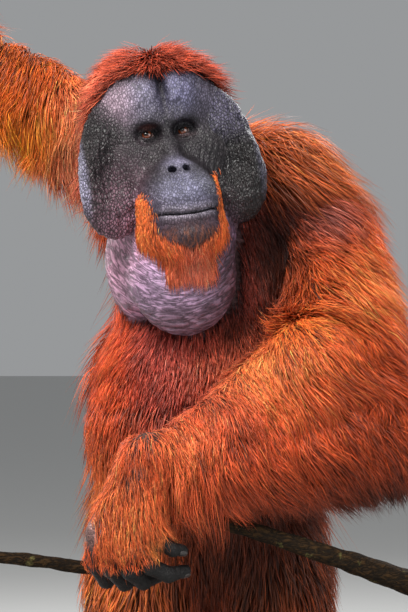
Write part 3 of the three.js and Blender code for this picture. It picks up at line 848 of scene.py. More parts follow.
class Board:
    """A node tree that is being wired."""

    def __init__(self, tree: bpy.types.NodeTree) -> None:
        """Keeps the tree."""
        self.tree = tree

    def add(self, kind: str, values: dict[str, object] | None = None, **settings: object) -> bpy.types.Node:
        """A new node.

        Args:
            kind: its type.
            values: values or links for its input sockets, by name.
            settings: values for its own settings.

        Returns:
            The node.
        """
        node = self.tree.nodes.new(kind)
        for key, value in settings.items():
            setattr(node, key, value)
        self.give(node, values or {})
        return node

    def link(self, out: bpy.types.NodeSocket, into: bpy.types.NodeSocket) -> None:
        """Joins two sockets."""
        self.tree.links.new(out, into)

    def feed(self, socket: bpy.types.NodeSocket, value: object) -> None:
        """Links a socket to another one, or gives it a plain value."""
        if isinstance(value, bpy.types.NodeSocket):
            self.link(value, socket)
        else:
            socket.default_value = value

    def give(self, node: bpy.types.Node, values: dict[str, object]) -> None:
        """Gives a node's input sockets their values or links, by name."""
        for key, value in values.items():
            self.feed(node.inputs[key], value)

    def math(self, operation: str, a: object, b: object = 0.0) -> bpy.types.NodeSocket:
        """The result of one sum on two values or sockets."""
        node = self.add("ShaderNodeMath", operation=operation)
        for socket, value in zip(node.inputs, (a, b)):
            self.feed(socket, value)
        return node.outputs[0]

    def blend(self, how: str, factor: object, a: object, b: object) -> bpy.types.NodeSocket:
        """Two colours mixed in the way that is named."""
        node = self.add("ShaderNodeMix", data_type="RGBA", blend_type=how, clamp_factor=True)
        for name, value in (("Factor_Float", factor), ("A_Color", a), ("B_Color", b)):
            self.feed(next(s for s in node.inputs if s.identifier == name), value)
        return next(s for s in node.outputs if s.identifier == "Result_Color")

    def shaded(self, colour: object, shade: bpy.types.NodeSocket) -> bpy.types.NodeSocket:
        """A colour made lighter or darker by a value."""
        grey = self.add("ShaderNodeCombineColor", {name: shade for name in ("Red", "Green", "Blue")})
        return self.blend("MULTIPLY", 1.0, colour, grey.outputs["Color"])

    def attribute(self, name: str, socket: str = "Color") -> bpy.types.NodeSocket:
        """One of the piece's own attributes."""
        return self.add("ShaderNodeAttribute", attribute_name=name).outputs[socket]

    def split(self, name: str) -> Sequence[bpy.types.NodeSocket]:
        """The red, green and blue shares of an attribute."""
        node = self.add("ShaderNodeSeparateColor", {"Color": self.attribute(name)})
        return [node.outputs[share] for share in ("Red", "Green", "Blue")]

    def bump(self, shader: bpy.types.Node, height: object, strength: float, distance: float) -> None:
        """Raises a shader's surface by a height."""
        node = self.add("ShaderNodeBump", {"Strength": strength, "Distance": distance, "Height": height})
        self.link(node.outputs["Normal"], shader.inputs["Normal"])

    def ramp(self, value: bpy.types.NodeSocket, low: float, high: float,
             to_low: float = 0.0, to_high: float = 1.0) -> bpy.types.NodeSocket:
        """A value taken from one range to another."""
        node = self.add("ShaderNodeMapRange", {
            "Value": value, "From Min": low, "From Max": high, "To Min": to_low, "To Max": to_high})
        return node.outputs["Result"]


def group(name: str, inputs: dict[str, tuple[str, float]], outputs: Sequence[str]) -> bpy.types.NodeTree:
    """A new shader group with its sockets.

    Args:
        name: the group's name.
        inputs: each input's kind and value.
        outputs: the names of its outputs, all plain values.

    Returns:
        The group's tree.
    """
    tree = bpy.data.node_groups.new(name, "ShaderNodeTree")
    for key, (kind, value) in inputs.items():
        socket = tree.interface.new_socket(key, in_out="INPUT", socket_type=kind)
        if kind == "NodeSocketFloat":
            socket.default_value = value
    for key in outputs:
        tree.interface.new_socket(key, in_out="OUTPUT", socket_type="NodeSocketFloat")
    return tree


def make_mottle() -> bpy.types.NodeTree:
    """Soft uneven patches, from 0 to 1, in two sizes."""
    tree = group("mottle", {"Vector": ("NodeSocketVector", 0), "Scale": ("NodeSocketFloat", 12)}, ["Value"])
    board = Board(tree)
    given, put = board.add("NodeGroupInput"), board.add("NodeGroupOutput")
    vector, scale = given.outputs["Vector"], given.outputs["Scale"]
    broad = board.add("ShaderNodeTexNoise", {
        "Vector": vector, "Scale": scale, "Detail": 3.0, "Roughness": 0.55})
    fine = board.add("ShaderNodeTexNoise", {
        "Vector": vector, "Scale": board.math("MULTIPLY", scale, 6.0), "Detail": 2.0, "Roughness": 0.6})
    both = board.math("ADD", board.math("MULTIPLY", broad.outputs["Fac"], 0.65),
                      board.math("MULTIPLY", fine.outputs["Fac"], 0.35))
    board.link(board.ramp(both, 0.3, 0.7), put.inputs["Value"])
    return tree


def make_pebbles() -> bpy.types.NodeTree:
    """Small raised pebbles of skin with creases between them."""
    tree = group("pebbles", {"Vector": ("NodeSocketVector", 0), "Scale": ("NodeSocketFloat", 300)},
                 ["Height", "Crease"])
    board = Board(tree)
    given, put = board.add("NodeGroupInput"), board.add("NodeGroupOutput")
    vector, sway = given.outputs["Vector"], 0.006
    warp = board.add("ShaderNodeTexNoise", {"Vector": vector, "Scale": 60.0, "Detail": 2.0})
    bent = board.add("ShaderNodeVectorMath", operation="MULTIPLY_ADD")
    for socket, value in zip(bent.inputs, (warp.outputs["Color"], (sway, sway, sway), vector)):
        board.feed(socket, value)
    cells = board.add("ShaderNodeTexVoronoi", feature="DISTANCE_TO_EDGE")
    board.give(cells, {"Vector": bent.outputs[0], "Scale": given.outputs["Scale"]})
    board.link(board.ramp(cells.outputs["Distance"], 0.0, 0.3), put.inputs["Height"])
    board.link(board.ramp(cells.outputs["Distance"], 0.02, 0.26, 1.0, 0.0), put.inputs["Crease"])
    return tree


def make_creases() -> bpy.types.NodeTree:
    """Fine wandering creases that follow a given direction of stretch."""
    tree = group("creases", {"Vector": ("NodeSocketVector", 0), "Scale": ("NodeSocketFloat", 90)},
                 ["Height"])
    board = Board(tree)
    given, put = board.add("NodeGroupInput"), board.add("NodeGroupOutput")
    noise = board.add("ShaderNodeTexNoise", {
        "Vector": given.outputs["Vector"], "Scale": given.outputs["Scale"],
        "Detail": 4.0, "Roughness": 0.55, "Distortion": 0.6})
    ridge = board.math("ABSOLUTE", board.math("SUBTRACT", noise.outputs["Fac"], 0.5))
    board.link(board.ramp(ridge, 0.0, 0.14), put.inputs["Height"])
    return tree


class Groups:
    """The shader groups that several materials share, made once."""

    def __init__(self) -> None:
        """Makes them."""
        self.mottle = make_mottle()
        self.pebbles = make_pebbles()
        self.creases = make_creases()


def placed_group(board: Board, tree: bpy.types.NodeTree, vector: bpy.types.NodeSocket,
                 scale: float) -> bpy.types.Node:
    """A shared group set into a material, with its vector and scale."""
    node = board.add("ShaderNodeGroup", node_tree=tree)
    board.give(node, {"Vector": vector, "Scale": scale})
    return node


def new_material(name: str) -> tuple[bpy.types.Material, Board, bpy.types.Node]:
    """A material with only its shader and output, the board to wire it on, and the shader."""
    material = bpy.data.materials.new(name)
    material.use_nodes = True
    board = Board(material.node_tree)
    board.tree.nodes.clear()
    shader, out = board.add("ShaderNodeBsdfPrincipled"), board.add("ShaderNodeOutputMaterial")
    board.link(shader.outputs["BSDF"], out.inputs["Surface"])
    return material, board, shader


def stretched(board: Board, vector: bpy.types.NodeSocket, scale: Point) -> bpy.types.NodeSocket:
    """The same place, drawn out differently along each axis."""
    return board.add("ShaderNodeMapping", {"Vector": vector, "Scale": tuple(scale)}).outputs["Vector"]


@dataclass(frozen=True)
class SkinFinish:
    """Bare skin: its colour and make come from the piece's own attributes."""

    roughness: float = 0.5
    pebble_scale: float = 250.0
    crease_scale: float = 165.0
    mottle_scale: float = 28.0
    bump: float = 0.7
    specular: float = 0.26

    def material(self, groups: Groups) -> bpy.types.Material:
        """The skin's material: pebbles on the face, creases on the throat, and uneven colour."""
        material, board, shader = new_material("bare_skin")
        place = board.add("ShaderNodeTexCoord").outputs["Object"]
        pebbled, creased, glossy = board.split("Make")
        pebbles = placed_group(board, groups.pebbles, stretched(board, place, (1, 1, 0.62)),
                               self.pebble_scale)
        creases = placed_group(board, groups.creases, board.attribute("Flow", "Vector"), self.crease_scale)
        mottle = placed_group(board, groups.mottle, place, self.mottle_scale).outputs["Value"]
        shade = board.ramp(mottle, 0, 1, 0.72, 1.25)
        # Painted shade in the creases between the pebbles and painted highlights on their tops.
        gap = board.math("MULTIPLY", pebbles.outputs["Crease"], pebbled)
        darker = board.ramp(gap, 0, 1, 1.5, 0.16)
        # Painted shade in the creases of the throat and painted highlights on the folds between them.
        fold = board.math("MULTIPLY", board.math("SUBTRACT", 1.0, creases.outputs["Height"]), creased)
        folded = board.ramp(fold, 0, 1, 1.25, 0.2)
        value = board.math("MULTIPLY", board.math("MULTIPLY", shade, darker), folded)
        raised = board.math("ADD", board.math("MULTIPLY", pebbles.outputs["Height"], pebbled),
                            board.math("MULTIPLY", creases.outputs["Height"], creased))
        board.bump(shader, raised, self.bump, 0.0014)
        rough = board.math("SUBTRACT", self.roughness, board.math("MULTIPLY", glossy, 0.3))
        board.give(shader, {"Base Color": board.shaded(board.attribute("Tint"), value),
                            "Roughness": board.math("ADD", rough, board.math("MULTIPLY", mottle, 0.1)),
                            "Specular IOR Level": self.specular})
        return material


@dataclass(frozen=True)
class HairFinish:
    """Long hair: its colour runs from root to tip in the piece's own attribute."""

    name: str
    roughness: float = 0.52
    specular: float = 0.38

    def material(self, groups: Groups) -> bpy.types.Material:
        """The hair's material, a little uneven from place to place."""
        material, board, shader = new_material(self.name)
        place = board.add("ShaderNodeTexCoord").outputs["Object"]
        mottle = placed_group(board, groups.mottle, place, 16.0).outputs["Value"]
        shade = board.ramp(mottle, 0, 1, 0.8, 1.18)
        rough = board.ramp(mottle, 0, 1, self.roughness - 0.06, self.roughness + 0.1)
        board.give(shader, {"Base Color": board.shaded(board.attribute("Tint"), shade),
                            "Roughness": rough, "Specular IOR Level": self.specular})
        return material


@dataclass(frozen=True)
class EyeFinish:
    """A wet eye: pupil, iris and white, by the angle from where it looks."""

    pupil: float = 0.2
    iris: float = 0.55

    def material(self, groups: Groups) -> bpy.types.Material:
        """The eye's material: the attribute Look grows from 0 at the pupil's middle to 2.2 at the back."""
        material, board, shader = new_material("wet_eye")
        place = board.add("ShaderNodeTexCoord").outputs["Object"]
        look, _, _ = board.split("Look")
        rays = board.add("ShaderNodeTexNoise", {
            "Vector": board.attribute("Rays"), "Scale": 7.0, "Detail": 3.0})
        wavy = board.math("ADD", look,
                          board.math("MULTIPLY", board.math("SUBTRACT", rays.outputs["Fac"], 0.5), 0.06))
        bands = board.add("ShaderNodeValToRGB")
        bands.color_ramp.elements.remove(bands.color_ramp.elements[1])
        stops = ((0.0, (4, 3, 3)), (self.pupil, (6, 4, 3)), (self.pupil + 0.03, (66, 26, 8)),
                 (0.36, (116, 50, 14)), (0.48, (78, 32, 10)), (self.iris, (18, 9, 6)),
                 (self.iris + 0.06, (84, 62, 56)), (0.8, (186, 156, 150)))
        for i, (at, colour) in enumerate(stops):
            element = bands.color_ramp.elements[0] if i == 0 else bands.color_ramp.elements.new(at)
            element.position = at
            element.color = full(colour)
        board.link(wavy, bands.inputs["Fac"])
        mottle = placed_group(board, groups.mottle, place, 160.0).outputs["Value"]
        shade = board.ramp(mottle, 0, 1, 0.85, 1.1)
        board.give(shader, {"Base Color": board.shaded(bands.outputs["Color"], shade), "Roughness": 0.12,
                            "Coat Weight": 1.0, "Coat Roughness": 0.03})
        return material


@dataclass(frozen=True)
class BarkFinish:
    """Rough bark with lichen, and pale wood where the branch is cut."""

    dark: tuple[float, float, float] = (14, 10, 6)
    light: tuple[float, float, float] = (50, 34, 16)
    lichen: tuple[float, float, float] = (84, 78, 44)
    wood: tuple[float, float, float] = (196, 164, 118)
    ring: tuple[float, float, float] = (150, 116, 76)

    def material(self, groups: Groups) -> bpy.types.Material:
        """The bark's material: ridges along the branch, lichen patches, growth rings at the cut ends."""
        material, board, shader = new_material("bark")
        place = board.add("ShaderNodeTexCoord").outputs["Object"]
        cut, outward, _ = board.split("Make")
        ridges = placed_group(board, groups.creases, stretched(board, place, (0.35, 1, 1)), 150.0)
        ridge = ridges.outputs["Height"]
        mottle = placed_group(board, groups.mottle, place, 30.0).outputs["Value"]
        colour = board.blend("MIX", ridge, full(self.dark), full(self.light))
        patches = board.add("ShaderNodeTexNoise", {
            "Vector": place, "Scale": 42.0, "Detail": 4.0, "Roughness": 0.65})
        lichen = board.ramp(patches.outputs["Fac"], 0.62, 0.7)
        colour = board.blend("MIX", lichen, colour, full(self.lichen))
        rings = board.math("SINE", board.math("MULTIPLY", outward, 42.0))
        pale = board.blend("MIX", board.ramp(rings, -1, 1), full(self.wood), full(self.ring))
        colour = board.blend("MIX", cut, colour, pale)
        board.bump(shader, board.math("ADD", ridge, lichen), 0.8, 0.002)
        board.give(shader, {"Base Color": board.shaded(colour, board.ramp(mottle, 0, 1, 0.7, 1.2)),
                            "Roughness": 0.85, "Specular IOR Level": 0.12})
        return material


@dataclass(frozen=True)
class PlainFinish:
    """A plain finish with a fine grain and a little uneven colour."""

    name: str
    colour: tuple[float, float, float]
    roughness: float
    grain: float = 900.0
    bump: float = 0.15
    coat: float = 0.0

    def material(self, groups: Groups) -> bpy.types.Material:
        """The finish's material."""
        material, board, shader = new_material(self.name)
        place = board.add("ShaderNodeTexCoord").outputs["Object"]
        mottle = placed_group(board, groups.mottle, place, 9.0).outputs["Value"]
        fine = board.add("ShaderNodeTexNoise", {"Vector": place, "Scale": self.grain, "Detail": 2.0})
        board.bump(shader, fine.outputs["Fac"], self.bump, 0.0005)
        shade = board.ramp(mottle, 0, 1, 0.88, 1.1)
        rough = board.ramp(mottle, 0, 1, self.roughness - 0.05, self.roughness + 0.07)
        board.give(shader, {"Base Color": board.shaded(full(self.colour), shade),
                            "Roughness": rough, "Coat Weight": self.coat})
        return material


def keep(piece: bpy.types.Object, material: bpy.types.Material,
         nodes: Sequence[str] = ()) -> None:
    """Dresses a finished piece and gives it its place in the model.

    Args:
        piece: the mesh object.
        material: what it is dressed in.
        nodes: the nodes of the frame that it stands for.
    """
    piece.data.materials.clear()
    piece.data.materials.append(material)
    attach(piece, "root")
    if nodes:
        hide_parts(*nodes)
    LOG.info("%s: %d faces", piece.name, len(piece.data.polygons))


FLESH_NODES = (
    "head", "cheek_flange_left", "cheek_flange_right", "ear_left", "ear_right", "throat_pouch", "neck",
    "chest_and_back", "belly_and_hips", "upper_arm_left", "forearm_left", "upper_arm_right", "forearm_right",
    "thigh_left", "shin_left", "foot_left", "thigh_right", "shin_right", "foot_right",
    *(f"{part}_{side}" for side in ("left", "right") for part in ("hand", "thumb")),
    *(f"finger_{side}_{i}" for side in ("left", "right") for i in (1, 2, 3, 4)),
)


@dataclass
class Skin:
    """The one skin round the whole body, finer on the head, throat, hands and feet."""

    body: Body
    volume: Volume
    head_patch: tuple[float, float, float, float] = (165, 80, -225, 135)
    face_patch: tuple[float, float, float, float] = (56, 20, -104, 36)
    eye_patch: float = 19.0
    most_triangles: int = 194000
    whole: bpy.types.Mesh | None = field(default=None)
    made: bpy.types.Object | None = field(default=None)

    def _patches(self) -> list[tuple[str, int, Callable[[Array], Array]]]:
        """Where the skin is made finer, and into how many more cuts."""
        head = self.body.head

        def within(p: Array, patch: tuple[float, float, float, float]) -> Array:
            """A patch of the head: its half width, how far back it goes, its foot and its top."""
            q = head.inside(p)
            wide, back, low, high = patch
            return (np.abs(q[:, 0]) < wide) & (q[:, 1] < back) & (q[:, 2] > low) & (q[:, 2] < high)

        def limbs(p: Array) -> Array:
            """Hands and feet."""
            region, _ = self.body.nearest(p)
            return in_regions(region, Region.HAND_LEFT, Region.HAND_RIGHT, Region.DIGITS, Region.FOOT)

        def front(p: Array) -> Array:
            """The face, both flanges and the throat."""
            x, y, z = p.T
            throat = (y < -30) & (z > 880) & (z < 1130) & (x > -190) & (x < 120)
            return (within(p, self.head_patch) | throat) & (x > -215) & (y < 60)

        def centre(p: Array) -> Array:
            """The middle of the face."""
            return within(p, self.face_patch)

        def eyes(p: Array) -> Array:
            """Round each eye."""
            q = head.inside(p)
            away = np.hypot(np.abs(q[:, 0]) - head.sizes.eye_apart, q[:, 2] * 1.25)
            return (away < self.eye_patch) & (q[:, 1] < 16)

        def lips(p: Array) -> Array:
            """Along the mouth."""
            above, mouth = head.from_mouth(head.inside(p))
            return (np.abs(above) < 9) & (mouth > 0.05)

        return [("limbs", 1, limbs), ("front", 2, front), ("centre", 1, centre), ("eyes", 1, eyes),
                ("lips", 2, lips)]

    def _settle(self, p: Array, steps: int, most: float = 3.0) -> Array:
        """Points moved onto the body's exact surface in a few steps."""
        p = p.copy()
        for _ in range(steps):
            d, slope = self.body.distance(p), self.body.slope(p)
            size = np.maximum((slope * slope).sum(axis=1), 0.2)
            move = slope * (d / size)[:, None]
            length = np.linalg.norm(move, axis=1, keepdims=True)
            p -= move * np.minimum(1, most / np.maximum(length, 1e-9))
        return p

    def build(self) -> bpy.types.Object:
        """The skin's mesh, made finer patch by patch and laid on the exact surface each time.

        Returns:
            The skin's object.
        """
        points, quads = self.volume.surface()
        self.made = object_from("skin", self._settle(points, 3), quads)
        mesh = self.made.data
        for name, cuts, chosen in self._patches():
            inside = chosen(points_of(mesh))
            work = bmesh.new()
            work.from_mesh(mesh)
            work.verts.ensure_lookup_table()
            edges = [e for e in work.edges if inside[e.verts[0].index] and inside[e.verts[1].index]]
            before = len(work.verts)
            bmesh.ops.subdivide_edges(work, edges=edges, cuts=cuts, use_grid_fill=True)
            bmesh.ops.triangulate(work, faces=[f for f in work.faces if len(f.verts) > 4])
            work.to_mesh(mesh)
            work.free()
            p = points_of(mesh)
            moved = np.concatenate([inside, np.ones(len(p) - before, bool)])
            p[moved] = self._settle(p[moved], 3, 1.5)
            set_points(mesh, p)
            LOG.info("skin, finer on the %s: %d faces", name, len(mesh.polygons))
        mesh.shade_smooth()
        self._fold()
        self.whole = mesh
        self._thin()
        return self.made

    def _thin(self) -> None:
        """Larger faces where the coat or the flanges hide the skin, until it has few enough."""
        p = points_of(self.whole)
        q = self.body.head.inside(p)
        region, _ = self.body.nearest(p)
        hidden = in_regions(region, Region.TRUNK, Region.UPPER_ARM_LEFT, Region.FOREARM_LEFT,
                            Region.UPPER_ARM_RIGHT, Region.FOREARM_RIGHT, Region.THIGH, Region.SHIN)
        bare_chest = (p[:, 2] > 880) & (p[:, 1] < 0) & (np.abs(p[:, 0]) < 180)
        hidden &= ~bare_chest
        hidden |= in_regions(region, Region.HEAD, Region.FLANGE, Region.NECK) & (q[:, 1] > 62)
        hidden |= in_regions(region, Region.HEAD) & (q[:, 2] > 112)
        group = self.made.vertex_groups.new(name="under the coat")
        group.add(np.flatnonzero(hidden).tolist(), 1.0, "REPLACE")
        thin = self.made.modifiers.new("thin", "DECIMATE")
        thin.vertex_group, thin.vertex_group_factor = group.name, 1000.0
        self.whole.calc_loop_triangles()
        thin.ratio = self.most_triangles / len(self.whole.loop_triangles)
        graph = bpy.context.evaluated_depsgraph_get()
        self.made.data = bpy.data.meshes.new_from_object(self.made.evaluated_get(graph))
        self.made.modifiers.remove(thin)
        self.made.vertex_groups.clear()
        face_out(self.made.data)
        self.made.data.calc_loop_triangles()
        LOG.info("skin, thinned under the coat: %d triangles", len(self.made.data.loop_triangles))

    def _fold(self) -> None:
        """Raises the wrinkles of the flanges, throat, neck, brow, eyes and lips."""
        mesh = self.made.data
        p = points_of(mesh)
        q = self.body.head.inside(p)
        region, _ = self.body.nearest(p)
        out = unit(self.body.slope(p))
        x, y, z = q.T
        wide = np.abs(x)
        height = np.zeros(len(p))
        swirl = drift(q, 70, 5)

        flange = on_regions(region, Region.FLANGE) * (y < 60)
        wave = np.sin(turns(wide, 10) + 3.6 * swirl + z * 0.02)
        height += flange * (0.7 + 0.5 * drift(q, 30, 13)) * wave
        height += flange * (0.7 * drift(q, 19, 6) + 0.15 * drift(q, 9, 16))

        throat = on_regions(region, Region.POUCH)
        arc = np.hypot(p[:, 0] + 40, (p[:, 2] - 1098) * 0.9)
        wave = np.sin(turns(arc, 11) + 5 * drift(p, 66, 7))
        height += throat * (0.6 + 0.7 * drift(p, 40, 14)) * wave * ramp(arc, 40, 100)
        neck = on_regions(region, Region.NECK, Region.TRUNK) * (p[:, 1] < 0) * ramp(p[:, 2], 880, 940)
        wave = np.sin(turns(p[:, 2] + 0.25 * p[:, 0], 12) + 2.6 * drift(p, 90, 8))
        height += neck * mix(1.5, 0.25, ramp(-p[:, 0], 20, 70)) * wave

        face = on_regions(region, Region.HEAD) * (y < 70)
        above, mouth = self.body.head.from_mouth(q)
        groove = 6.5 * np.exp(-((above / 2.3) ** 2))
        edge = 1.2 * np.exp(-(((above - 9) / 3) ** 2))
        height -= face * mouth * (groove - edge)
        brow = face * ramp(z, 24, 50) * (1 - ramp(z, 96, 110))
        height += brow * (0.9 * drift(q, 21, 9) + 0.25 * drift(q, 10, 10))
        for side in (-1, 1):
            height += face * 5.0 * np.exp(-((x - side * 26) / 19) ** 2 - ((z - 68) / 30) ** 2)
        height -= face * ramp(z, 18, 40) * (1 - ramp(z, 96, 110)) * 5.0 * np.exp(-((x - 2) / 5.5) ** 2)

        for side in (-1, 1):
            round_eye = np.hypot(x - side * 30, (z + 2) * 1.25)
            band = ramp(round_eye, 15, 20) * (1 - ramp(round_eye, 36, 46)) * ramp(-z, -12, 4)
            wave = np.sin(turns(round_eye, 6.2) + 1.6 * swirl)
            height += face * band * (0.2 + 0.35 * drift(q, 26, 15)) * wave
        between = face * np.exp(-((x / 13) ** 2) - ((z - 2) / 20) ** 2)
        height += between * (0.35 + 0.4 * drift(q, 14, 18)) * np.sin(turns(z + 0.06 * x * x, 7.5))
        lip = face * ramp(z, -150, -138) * (1 - ramp(z, -112, -96)) * (wide < 50)
        height += lip * (0.15 + 0.35 * drift(q, 22, 19)) * np.sin(turns(x, 7) + 3 * swirl)
        cheek = face * ramp(wide, 36, 48) * ramp(-z, 20, 34) * (1 - ramp(-z, 110, 130))
        wave = np.sin(turns(wide * 0.8 - z * 0.3, 8) + 2 * swirl)
        height += cheek * (0.6 + 0.4 * drift(q, 30, 17)) * wave
        height += face * 0.1 * drift(q, 9, 11)

        digits = on_regions(region, Region.DIGITS, Region.FOOT, Region.HAND_LEFT, Region.HAND_RIGHT)
        height += digits * 0.5 * drift(p, 11, 12)
        set_points(mesh, p + out * height[:, None])

    def _make(self, p: Array, q: Array, region: Array) -> Array:
        """How pebbled, creased and glossy the skin is at each point."""
        make = np.zeros((len(p), 3))
        amounts = {
            Region.HEAD: (0.75, 0.35, 0.4), Region.FLANGE: (1.0, 0.35, 0.5), Region.POUCH: (0.15, 0.95, 0.4),
            Region.NECK: (0.25, 0.8, 0.1), Region.EAR: (0.5, 0.4, 0.1), Region.TRUNK: (0.2, 0.6, 0.0),
            Region.DIGITS: (0.5, 0.6, 0.1), Region.FOOT: (0.6, 0.9, 0.25), Region.HAND_LEFT: (0.5, 0.8, 0.1),
            Region.HAND_RIGHT: (0.5, 0.8, 0.1),
        }
        for place, amount in amounts.items():
            make[region == place.value] = amount
        nose = np.exp(-((q[:, 0] / 18) ** 2) - ((q[:, 2] + 66) / 16) ** 2) * (q[:, 1] < 0)
        make[:, 2] += 0.4 * nose
        return np.clip(make, 0, 1)

    def _flow(self, p: Array, q: Array, region: Array) -> Array:
        """A place, in metres, that runs quickly across the skin's wrinkles and slowly along them."""
        slow, face_z, throat_x, throat_z = 0.22, -10, -50, 1092
        flow = np.stack([p[:, 0], p[:, 1], p[:, 2] * 1.6], axis=1)
        on_face = in_regions(region, Region.HEAD, Region.FLANGE)
        far = np.hypot(q[:, 0], 0.8 * (q[:, 2] - face_z))
        turn = np.arctan2(q[:, 2] - face_z, q[:, 0])
        rings = np.stack([far * 1.3, slow * 90 * turn, 0.4 * q[:, 1]], axis=1)
        flow[on_face] = rings[on_face]
        throat = (p[:, 1] < 10) & in_regions(region, Region.POUCH, Region.NECK)
        arc = np.hypot(p[:, 0] - throat_x, 0.9 * (p[:, 2] - throat_z))
        turn = np.arctan2(p[:, 2] - throat_z, p[:, 0] - throat_x)
        arcs = np.stack([arc, slow * 110 * turn, 0.15 * p[:, 1]], axis=1)
        flow[throat] = arcs[throat]
        return flow * MM

    def dress(self, groups: Groups) -> None:
        """Colours the skin, with some painted highlights and painted shade, and puts it in place of the
        nodes of flesh.
        """
        mesh = self.made.data
        p = points_of(mesh)
        head = self.body.head
        q = head.inside(p)
        region, away = self.body.nearest(p)
        share = np.exp(-(away - away.min(axis=1, keepdims=True)) / 5.0)
        share /= share.sum(axis=1, keepdims=True)
        base = share @ np.array([linear(*SKIN_BASE[r]) for r in Region])
        tint = painted(base, (*HEAD_MARKS, *SKIN_MARKS), p, q)
        side = np.where(q[:, 0] < 0, -1, 1)
        flange = in_regions(region, Region.FLANGE) & (q[:, 1] < 60)
        # rim and upper mask a painted highlight on each flange's rim, stronger on the animal's right, and a
        # painted bluish reflection on the upper part of its left flange.
        rim = flange * ramp(np.abs(q[:, 0]), 136, 148) * ramp(q[:, 2], -150, -60)
        upper = flange * (side > 0) * ramp(q[:, 2], -40, 20)
        on_head = in_regions(region, Region.HEAD)
        above, mouth = head.from_mouth(q)
        mouth = mouth * on_head
        speckle = on_head * ramp(-q[:, 2], 160, 182) * ramp(drift(q, 5, 21), 0.0, 0.4)
        for colour, share in (
                ((132, 128, 150), rim * np.where(side < 0, 0.8, 0.3)),
                ((70, 66, 84), 0.7 * upper),
                ((128, 120, 132), 0.85 * mouth * np.exp(-((above / 7.0) ** 2))),
                # Painted shade in the groove of the mouth, where the lips meet.
                ((8, 5, 6), mouth * np.exp(-((above / 2.2) ** 4))),
                ((168, 96, 60), 0.5 * speckle)):
            tint = mix(tint, np.array(linear(*colour)), share[:, None])
        patchy = np.exp(0.16 * drift(p, 34, 22) + 0.12 * drift(p, 12, 23))
        paint(mesh, "Tint", tint * patchy[:, None])
        paint(mesh, "Make", self._make(p, q, region))
        paint(mesh, "Flow", self._flow(p, q, region))
        keep(self.made, SkinFinish().material(groups), FLESH_NODES)


@dataclass
class Eyes:
    """Two eyeballs with a bulging cornea, both looking up and to the animal's right."""

    head: Head
    gaze: tuple[float, float, float] = (-0.26, -1.0, 0.2)
    bulge: float = 0.9
    rings: int = 40
    sides: int = 48

    def build(self, side: int) -> bpy.types.Object:
        """One eyeball, in rings round the line that it looks along.

        Args:
            side: -1 for its right eye, 1 for its left.

        Returns:
            The eyeball's object.
        """
        s = self.head.sizes
        look = unit(np.array(self.gaze))
        up = unit(np.cross(np.cross(look, (0, 0, 1)), look))
        right = np.cross(look, up)
        angle = np.linspace(0.02, math.pi - 0.02, self.rings)
        radius = s.eye_ball + self.bulge * np.exp(-((angle / 0.52) ** 2)) - 0.25
        turn = np.linspace(0, 2 * math.pi, self.sides, endpoint=False)
        across = np.cos(turn)[:, None] * right + np.sin(turn)[:, None] * up
        q = (np.cos(angle) * radius)[:, None, None] * look + (np.sin(angle) * radius)[:, None, None] * across
        ends = np.array([look * radius[0], -look * radius[-1]])
        q = np.vstack([q.reshape(-1, 3), ends]) + self.head.eye_at(side)
        word = "left" if side > 0 else "right"
        made = object_from(f"eyeball_{word}", self.head.outside(q), ring_faces(self.rings, self.sides))
        face_out(made.data)
        share = np.concatenate([np.repeat(angle, self.sides), [0, math.pi]]) / math.pi * 2.2
        rays = np.stack([np.tile(np.cos(turn), self.rings), np.tile(np.sin(turn), self.rings),
                         np.repeat(angle * 0.3, self.sides)], axis=1)
        paint(made.data, "Look", np.repeat(share[:, None], 3, axis=1))
        paint(made.data, "Rays", np.vstack([rays, [[0, 0, 0], [0, 0, 1]]]))
        return made

    def dress(self, groups: Groups) -> None:
        """Builds both eyes in their wet finish."""
        material = EyeFinish().material(groups)
        for side, word in ((-1, "right"), (1, "left")):
            keep(self.build(side), material, [f"eye_{word}"])


# The coat

@dataclass(frozen=True)
class Style:
    """How the tufts of one stretch of coat are made, in millimetres."""

    length: float
    lift: float
    width: float = 3.0
    thick: float = 0.9
    vary: float = 0.3
    rise: float = 0.35
    droop: float = 0.25
    frizz: float = 3.0
    clump: float = 0.45
    comb: float = 0.6
    wave: float = 0.25
    flat_top: float = 0.0
    # dark is how dark each tuft is at its root, a painted shade deep in the coat; bright is how bright it is
    # all along.
    dark: float = 0.13
    bright: float = 0.72
    profile: tuple[tuple[int, float], ...] = ((0, 0.7), (2, 1.0), (4, 0.72))

    def fine(self) -> "Style":
        """The single strands that stand among the tufts: thinner, frizzier and lighter."""
        return replace(self, width=max(0.8, self.width * 0.4), thick=0.55, frizz=self.frizz * 2.1, vary=0.45,
                       clump=self.clump * 0.6, wave=self.wave * 1.6, lift=self.lift * 1.12,
                       dark=0.3, bright=1.6, profile=((0, 0.8), (3, 1.0)))


@dataclass(frozen=True)
class Stretch:
    """One stretch of coat: how many tufts and strands it has, where they root and how they lie."""

    name: str
    tufts: int
    strands: int
    style: Style
    colour: tuple[float, float, float]
    axis: tuple[Point, Point]
    density: Callable[[Array, Array, Array], Array]
    lie: Callable[[Array], Array]
    long: Callable[[Array, Array], Array] = field(default=lambda p, q: np.ones(len(p)))


